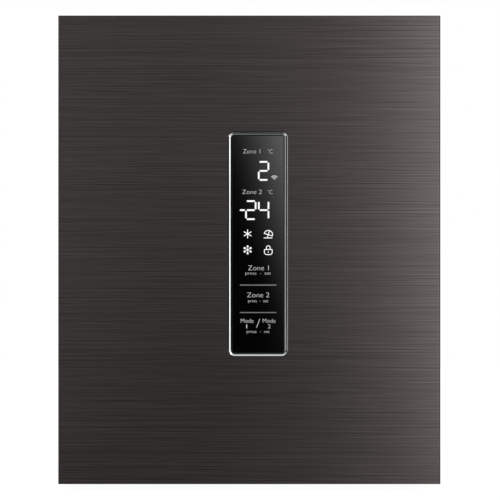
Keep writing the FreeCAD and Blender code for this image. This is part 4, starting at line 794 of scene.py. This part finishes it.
@dataclass(frozen=True)
class Padlock(Mark):
    """A closed padlock in outline, with its lower corners cut.

    The shackle's legs are a share of its radius.
    """

    centre: Point
    stroke: float = SIGN_STROKE
    half_width: float = 4.6
    half_height: float = 3.0
    corner_cut: float = 1.7
    shackle: float = 2.2
    shackle_spread: float = 89.0
    shackle_leg: float = 1.2
    keyhole: float = 0.8

    def draw(self, pen: GlassPen) -> list[Piece]:
        """Models body, shackle and keyhole.

        Args:
            pen: What draws on the glass.

        Returns:
            The settled pieces.
        """
        u, v = self.centre
        top = v + self.half_height
        bottom = v - self.half_height
        corner = bottom + self.corner_cut
        sole = self.half_width - self.corner_cut
        lines = [
            ((u - self.half_width, top), (u + self.half_width, top)),
            ((u - sole, bottom), (u + sole, bottom)),
            ((u, v - self.keyhole), (u, v + self.keyhole))]
        for side in (-1, 1):
            flank = u + side * self.half_width
            leg = u + side * self.shackle
            lines += [
                ((flank, top), (flank, corner)),
                ((flank, corner), (u + side * sole, bottom)),
                ((leg, top), (leg, top + self.shackle_leg * self.shackle))]
        bow = pen.arc((u, top + self.shackle), self.shackle, self.stroke, QUARTER_TURN, self.shackle_spread)
        return [bow] + [pen.bar(start, end, self.stroke) for start, end in lines]


@dataclass(frozen=True)
class RadioWaves(Mark):
    """Two waves over a short one, about one centre."""

    centre: Point
    stroke: float = SIGN_STROKE
    radii: tuple[float, ...] = (1.2, 3.1, 4.9)
    spread: float = 46.0

    def draw(self, pen: GlassPen) -> list[Piece]:
        """Models the waves."""
        return [pen.arc(self.centre, radius, self.stroke, QUARTER_TURN, self.spread) for radius in self.radii]


@dataclass(frozen=True)
class LitPiece:
    """Marks that make one piece, and the finish that lights it."""

    name: str
    finish: Palette
    marks: tuple[Mark, ...]


@dataclass
class DisplayStrip:
    """The lit numbers, signs, labels and rules that stand on the display's glass."""

    slot: str = "display_black"
    pieces: tuple[LitPiece, ...] = (
        LitPiece("temperature_numbers", Palette.LIT_SIGN, (
            Digit(Numeral.TWO, left=-0.3, low=74.4),
            Line(start=(-21.6, 39.9), end=(-15.6, 39.9), stroke=DIGIT_STROKE),
            Digit(Numeral.TWO, left=-15.3, low=28.3),
            Digit(Numeral.FOUR, left=-0.2, low=28.3))),
        LitPiece("mode_signs", Palette.LIT_SIGN, (
            Star(centre=(-12.4, 12.0), inner=0.0, outer=5.2, stroke=SIGN_STROKE),
            Star(centre=(-12.4, 12.0), inner=0.0, outer=1.5, stroke=1.5 * SIGN_STROKE),
            Star(centre=(-12.4, -6.8), inner=0.0, outer=2.4, stroke=0.7 * SIGN_STROKE),
            Star(centre=(-12.4, -6.8), inner=2.7, outer=5.3, stroke=2.4 * SIGN_STROKE),
            Sunshade(centre=(11.9, 11.0)),
            Padlock(centre=(11.9, -9.4)))),
        LitPiece("radio_sign", Palette.DIM_SIGN, (
            RadioWaves(centre=(19.0, 75.3)),)),
        LitPiece("zone_labels", Palette.DIM_SIGN, (
            Label("Zone 1", box=(-17.8, 2.4, 106.6, 111.5)),
            Label("°C", box=(11.0, 17.0, 106.6, 111.5)),
            Label("Zone 2", box=(-18.6, 4.2, 58.9, 63.8)),
            Label("°C", box=(10.6, 17.0, 58.9, 63.8)),
            Label("Zone 1", box=(-11.8, 12.4, -30.8, -25.2)),
            Label("Zone 2", box=(-13.0, 13.0, -62.6, -57.0)),
            Label("Mode", box=(-20.4, -5.4, -92.6, -87.8)),
            Label("1", box=(-13.9, -13.0, -99.0, -94.4)),
            Label("/", box=(-2.2, 2.2, -98.4, -88.0)),
            Label("Mode", box=(5.4, 20.4, -92.6, -87.8)),
            Label("2", box=(11.4, 14.4, -99.0, -94.4)))),
        LitPiece("key_notes", Palette.DIM_SIGN, (
            Label("press  -  set", box=(-15.0, 15.0, -37.2, -33.2)),
            Label("press  -  set", box=(-11.8, 11.8, -69.6, -65.8)),
            Label("press  -  set", box=(-13.4, 13.4, -105.6, -101.8)))),
        LitPiece("key_rules", Palette.KEY_RULE, (
            Line(start=(-21.6, -48.2), end=(21.6, -48.2), stroke=1.5),
            Line(start=(-21.6, -80.5), end=(21.6, -80.5), stroke=1.15))),
    )

    def build(self) -> None:
        """Models every lit piece and sets it on the door."""
        pen = GlassPen()
        for piece in self.pieces:
            drawn = [part for mark in piece.marks for part in mark.draw(pen)]
            Workshop.set_on_door(Workshop.join(piece.name, drawn), piece.finish, self.slot)


@dataclass(frozen=True)
class TrimRing:
    """One thin ring along the outline of the display's frame, in millimetres.

    Its outer edge lies inset from that outline and behind the front of a CAD node, its datum. Its inner edge
    may rise in front of the outer one.
    """

    name: str
    finish: Palette
    slot: str
    datum: str
    inset: float
    band: float
    behind: float
    depth: float
    rise: float = 0.0


@dataclass
class FrameTrim:
    """The glass seal, a black ring of painted shadow round the frame, the rim and the bead that edge the
    display's frame, whose corners have one radius.
    """

    corner: float = 7.5
    corner_steps: int = 8
    rings: tuple[TrimRing, ...] = (
        # A black ring on the door skin round the frame: painted shadow of the gap between frame and steel.
        TrimRing("frame_shadow_ring", Palette.SEAL_BLACK, "gasket_rubber", datum="door_skin",
                 inset=-0.7, band=0.65, behind=-0.2, depth=0.2),
        TrimRing("frame_rim", Palette.RIM_CHROME, "bright_frame", datum="display_frame",
                 inset=-0.1, band=0.95, behind=0.69, depth=0.8, rise=0.67),
        TrimRing("glass_bead", Palette.BEAD_CHROME, "bright_frame", datum="display_frame",
                 inset=2.55, band=1.15, behind=0.6, depth=1.2, rise=0.42),
        TrimRing("glass_seal", Palette.SEAL_BLACK, "gasket_rubber", datum="display_glass",
                 inset=3.65, band=1.4, behind=0.45, depth=0.4, rise=0.5),
    )

    def model(self, ring: TrimRing) -> Piece:
        """Models a ring from a plane with rounded corners.

        Args:
            ring: Its sizes.

        Returns:
            The settled ring.
        """
        Workshop.clear()
        low, high = (Vector(corner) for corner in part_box("display_frame"))
        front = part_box(ring.datum)[0][1] + ring.behind * MM
        bpy.ops.mesh.primitive_plane_add(size=1.0, rotation=(math.pi / 2, 0.0, 0.0))
        piece = bpy.context.active_object
        piece.name = ring.name
        piece.scale = (high.x - low.x - 2 * ring.inset * MM, high.z - low.z - 2 * ring.inset * MM, 1.0)
        piece.location = ((low.x + high.x) / 2, front, (low.z + high.z) / 2)
        Workshop.settle(piece)
        Workshop.edit(piece)
        radius = (self.corner - ring.inset) * MM
        bpy.ops.mesh.bevel(offset=radius, segments=self.corner_steps, affect="VERTICES")
        bpy.ops.mesh.select_all(action="SELECT")
        bpy.ops.mesh.inset(thickness=ring.band * MM, depth=ring.rise * MM)
        bpy.ops.mesh.delete(type="FACE")
        bpy.ops.mesh.select_all(action="SELECT")
        bpy.ops.mesh.extrude_region_move(TRANSFORM_OT_translate={"value": (0.0, ring.depth * MM, 0.0)})
        bpy.ops.mesh.select_all(action="SELECT")
        bpy.ops.mesh.normals_make_consistent(inside=False)
        bpy.ops.object.mode_set(mode="OBJECT")
        return piece

    def build(self) -> None:
        """Models every ring and sets it on the door."""
        for ring in self.rings:
            Workshop.set_on_door(self.model(ring), ring.finish, ring.slot)


@dataclass
class Carcass:
    """The CAD nodes, dressed slot by slot, with the lamp's lens lit and clear pieces that cast no shadow."""

    clear_slots: tuple[str, ...] = ("clear_plastic", "shelf_glass")
    lens: str = "lamp_lens"

    def build(self) -> None:
        """Gives every node the finish of its slot."""
        for entry in frame["record"]["subparts"]:
            node = frame["nodes"][entry["node"]]
            slot_finish = Palette[entry["material_slot"].upper()]
            finish = Palette.LIT_LENS if entry["node"] == self.lens else slot_finish
            material = finish.value.material()
            node.visible_shadow = entry["material_slot"] not in self.clear_slots
            if not node.material_slots:
                node.data.materials.append(material)
            for slot in node.material_slots:
                slot.material = material
            LOG.info("%s: %s", entry["node"], material.name)


@dataclass(frozen=True)
class Softbox:
    """A rectangular studio lamp that faces the object, with angles in degrees and sizes in metres."""

    name: str
    azimuth: float
    elevation: float
    distance: float
    width: float
    height: float
    radiance: float

    def build(self, target: Vector) -> None:
        """Hangs the lamp.

        Args:
            target: The point it faces.
        """
        turn = math.radians(self.azimuth)
        rise = math.radians(self.elevation)
        out = Vector((math.sin(turn) * math.cos(rise), -math.cos(turn) * math.cos(rise), math.sin(rise)))
        lamp = bpy.data.lights.new(self.name, "AREA")
        lamp.shape = "RECTANGLE"
        lamp.size = self.width
        lamp.size_y = self.height
        lamp.energy = self.radiance * math.pi * self.width * self.height
        holder = bpy.data.objects.new(self.name, lamp)
        bpy.context.scene.collection.objects.link(holder)
        holder.location = target + out * self.distance
        holder.rotation_euler = (-out).to_track_quat("-Z", "Y").to_euler()


@dataclass
class Studio:
    """Camera, lamps, white floor and white background.

    Reflections see a pale room with a dark left side, a brighter window at the far right, a dark ceiling, and
    an unlit place in front of the door. Spans of the room are sines of a direction's turn and rise. On the
    floor they see a strip of painted shade before the door, with a painted black shadow spot on it where the
    camera's shade falls; no stand is modelled there.
    """

    camera_place: Place = (0.0008, -1.8915, 0.2843)
    lens: float = 100.0
    sensor: float = 36.0
    floor_size: float = 3.0
    floor_glow: float = 0.95
    floor_albedo: Rgb = (118, 118, 118)
    # Painted shade: in reflections the floor is darker in a strip before the door, by the floor_shaded span.
    floor_mirrored: Span = (0.27, 0.80)
    floor_shaded: Span = (0.16, 0.56)
    stand_place: Place = (0.013, -0.74, 0.0)
    stand_reach: Span = (0.13, 0.24)
    ambient: float = 0.42
    room: Span = (0.005, 0.98)
    dark_left: Span = (-0.42, -0.25)
    lit_left: Span = (0.15, 0.40)
    lit_left_level: float = 0.6
    window: Span = (0.55, 0.70)
    window_gain: float = 0.35
    ceiling: Span = (0.55, 0.95)
    ceiling_level: float = 0.06
    behind: Span = (0.10, 0.60)
    unlit_slope: float = 0.30
    unlit_right: Span = (0.0, 0.047)
    unlit_fade: float = 2.0
    unlit_left: Span = (-0.11, -0.06)
    unlit_low: Span = (-0.16, -0.10)
    lamps: tuple[Softbox, ...] = (
        Softbox("right_softbox", azimuth=24.2, elevation=9.0, distance=2.4,
                width=0.9, height=1.5, radiance=5.9),
        Softbox("low_softbox", azimuth=25.0, elevation=-3.0, distance=2.3,
                width=0.9, height=0.34, radiance=4.9),
        Softbox("left_softbox", azimuth=-60.0, elevation=26.0, distance=2.6,
                width=1.1, height=1.0, radiance=4.0),
        Softbox("back_fill", azimuth=192.0, elevation=18.0, distance=2.8,
                width=1.4, height=1.0, radiance=2.6),
    )

    def build_camera(self) -> None:
        """Sets the camera at the photograph's place, level and square to the door."""
        data = bpy.data.cameras.new("camera")
        data.lens = self.lens
        data.sensor_width = self.sensor
        camera = bpy.data.objects.new("camera", data)
        bpy.context.scene.collection.objects.link(camera)
        camera.location = self.camera_place
        camera.rotation_euler = (math.pi / 2, 0.0, 0.0)
        bpy.context.scene.camera = camera

    def mirrored_floor(self, bench: NodeBench) -> Socket:
        """Works out how bright the floor looks in a reflection, by place, with painted shade in a strip
        before the door and a painted black shadow spot on it.

        Args:
            bench: The floor's node tree.

        Returns:
            The level, black in the painted shadow spot.
        """
        axes = bench.add("ShaderNodeSeparateXYZ")
        place = bench.add("ShaderNodeTexCoord").outputs["Object"]
        bench.join(place, axes.inputs[0])
        aside = bench.arithmetic("ABSOLUTE", axes.outputs[0])
        level = bench.span(aside, self.floor_shaded, self.floor_mirrored, smooth=True)
        # The spot named stand is painted shadow, black in reflections where the camera's shade falls; nothing
        # stands there.
        stand = bench.add("ShaderNodeVectorMath", operation="DISTANCE")
        stand.inputs[1].default_value = self.stand_place
        bench.join(place, stand.inputs[0])
        clear = bench.span(stand.outputs["Value"], self.stand_reach, GROWING, smooth=True)
        return bench.arithmetic("MULTIPLY", level, clear)

    def floor_material(self) -> bpy.types.Material:
        """Makes a white that keeps a faint shadow, with its own level in reflections, where shade is painted.

        Returns:
            The floor's material.
        """
        material = bpy.data.materials.new("white_floor")
        material.use_nodes = True
        nodes = material.node_tree.nodes
        nodes.remove(nodes["Principled BSDF"])
        bench = NodeBench(material.node_tree)
        glow = bench.add("ShaderNodeEmission")
        glow.inputs["Strength"].default_value = self.floor_glow
        matte = bench.add("ShaderNodeBsdfDiffuse")
        matte.inputs["Color"].default_value = linear(self.floor_albedo)
        seen = bench.add("ShaderNodeAddShader")
        bench.join(glow.outputs[0], seen.inputs[0])
        bench.join(matte.outputs[0], seen.inputs[1])
        mirrored = bench.add("ShaderNodeEmission")
        bench.join(self.mirrored_floor(bench), mirrored.inputs["Strength"])
        choice = bench.add("ShaderNodeMixShader")
        bench.join(bench.add("ShaderNodeLightPath").outputs["Is Glossy Ray"], choice.inputs["Fac"])
        bench.join(seen.outputs[0], choice.inputs[1])
        bench.join(mirrored.outputs[0], choice.inputs[2])
        bench.join(choice.outputs[0], nodes["Material Output"].inputs["Surface"])
        return material

    def build_floor(self) -> None:
        """Lays the floor."""
        Workshop.clear()
        bpy.ops.mesh.primitive_plane_add(size=self.floor_size)
        floor = bpy.context.active_object
        floor.name = "floor"
        floor.data.materials.append(self.floor_material())

    def mirrored_room(self, bench: NodeBench) -> Socket:
        """Works out how bright the room looks in a reflection, by direction.

        Args:
            bench: The world's node tree.

        Returns:
            The level, from nearly black to above white at the window.
        """
        axes = bench.add("ShaderNodeSeparateXYZ")
        bench.join(bench.add("ShaderNodeTexCoord").outputs["Generated"], axes.inputs[0])
        turn, depth, rise = axes.outputs
        walls = bench.span(turn, self.dark_left, self.room, smooth=True)
        window = bench.span(turn, self.window, (0.0, self.window_gain), smooth=True)
        high = bench.span(rise, self.lit_left, (0.0, self.lit_left_level), smooth=True)
        walls = bench.arithmetic("MAXIMUM", bench.arithmetic("ADD", walls, window), high)
        slant = bench.arithmetic("MULTIPLY_ADD", rise, self.unlit_slope, turn)
        right = bench.arithmetic("POWER", bench.span(slant, self.unlit_right, GROWING), self.unlit_fade)
        left = bench.span(turn, self.unlit_left, FADING, smooth=True)
        low = bench.span(rise, self.unlit_low, FADING, smooth=True)
        lit = bench.arithmetic("MAXIMUM", bench.arithmetic("MAXIMUM", right, left), low)
        front = bench.arithmetic("MULTIPLY", walls, lit)
        back = bench.span(depth, self.behind, GROWING, smooth=True)
        above = bench.span(rise, self.ceiling, (1.0, self.ceiling_level), smooth=True)
        return bench.arithmetic("MULTIPLY", above, bench.arithmetic("MAXIMUM", front, back))

    def build_world(self) -> None:
        """Makes the background white for the camera, a room for reflections, and soft ambient light."""
        world = bpy.data.worlds.new("studio")
        bpy.context.scene.world = world
        world.use_nodes = True
        bench = NodeBench(world.node_tree)
        ray = bench.add("ShaderNodeLightPath")
        mirror = bench.arithmetic("MAXIMUM", ray.outputs["Is Glossy Ray"], ray.outputs["Is Transmission Ray"])
        bounced = bench.add("ShaderNodeMix")
        bounced.inputs["A"].default_value = self.ambient
        bench.join(mirror, bounced.inputs["Factor"])
        bench.join(self.mirrored_room(bench), bounced.inputs["B"])
        level = bench.arithmetic("MAXIMUM", bounced.outputs[0], ray.outputs["Is Camera Ray"])
        sky = world.node_tree.nodes["Background"]
        sky.inputs["Color"].default_value = WHITE
        bench.join(level, sky.inputs["Strength"])

    def build(self) -> None:
        """Builds the whole studio."""
        bpy.context.scene.view_settings.view_transform = "Standard"
        self.build_camera()
        self.build_floor()
        self.build_world()
        middle = (Vector(CAD_BOX[0]) + Vector(CAD_BOX[1])) / 2
        for lamp in self.lamps:
            lamp.build(Vector((middle.x, CAD_BOX[0][1], middle.z)))
        LOG.info("studio: %d lamps", len(self.lamps))


def main() -> None:
    """Dresses the refrigerator and sets up its studio."""
    logging.basicConfig(level=logging.INFO, format="%(message)s")
    Carcass().build()
    DisplayStrip().build()
    FrameTrim().build()
    Studio().build()


if __name__ == "__main__":
    main()
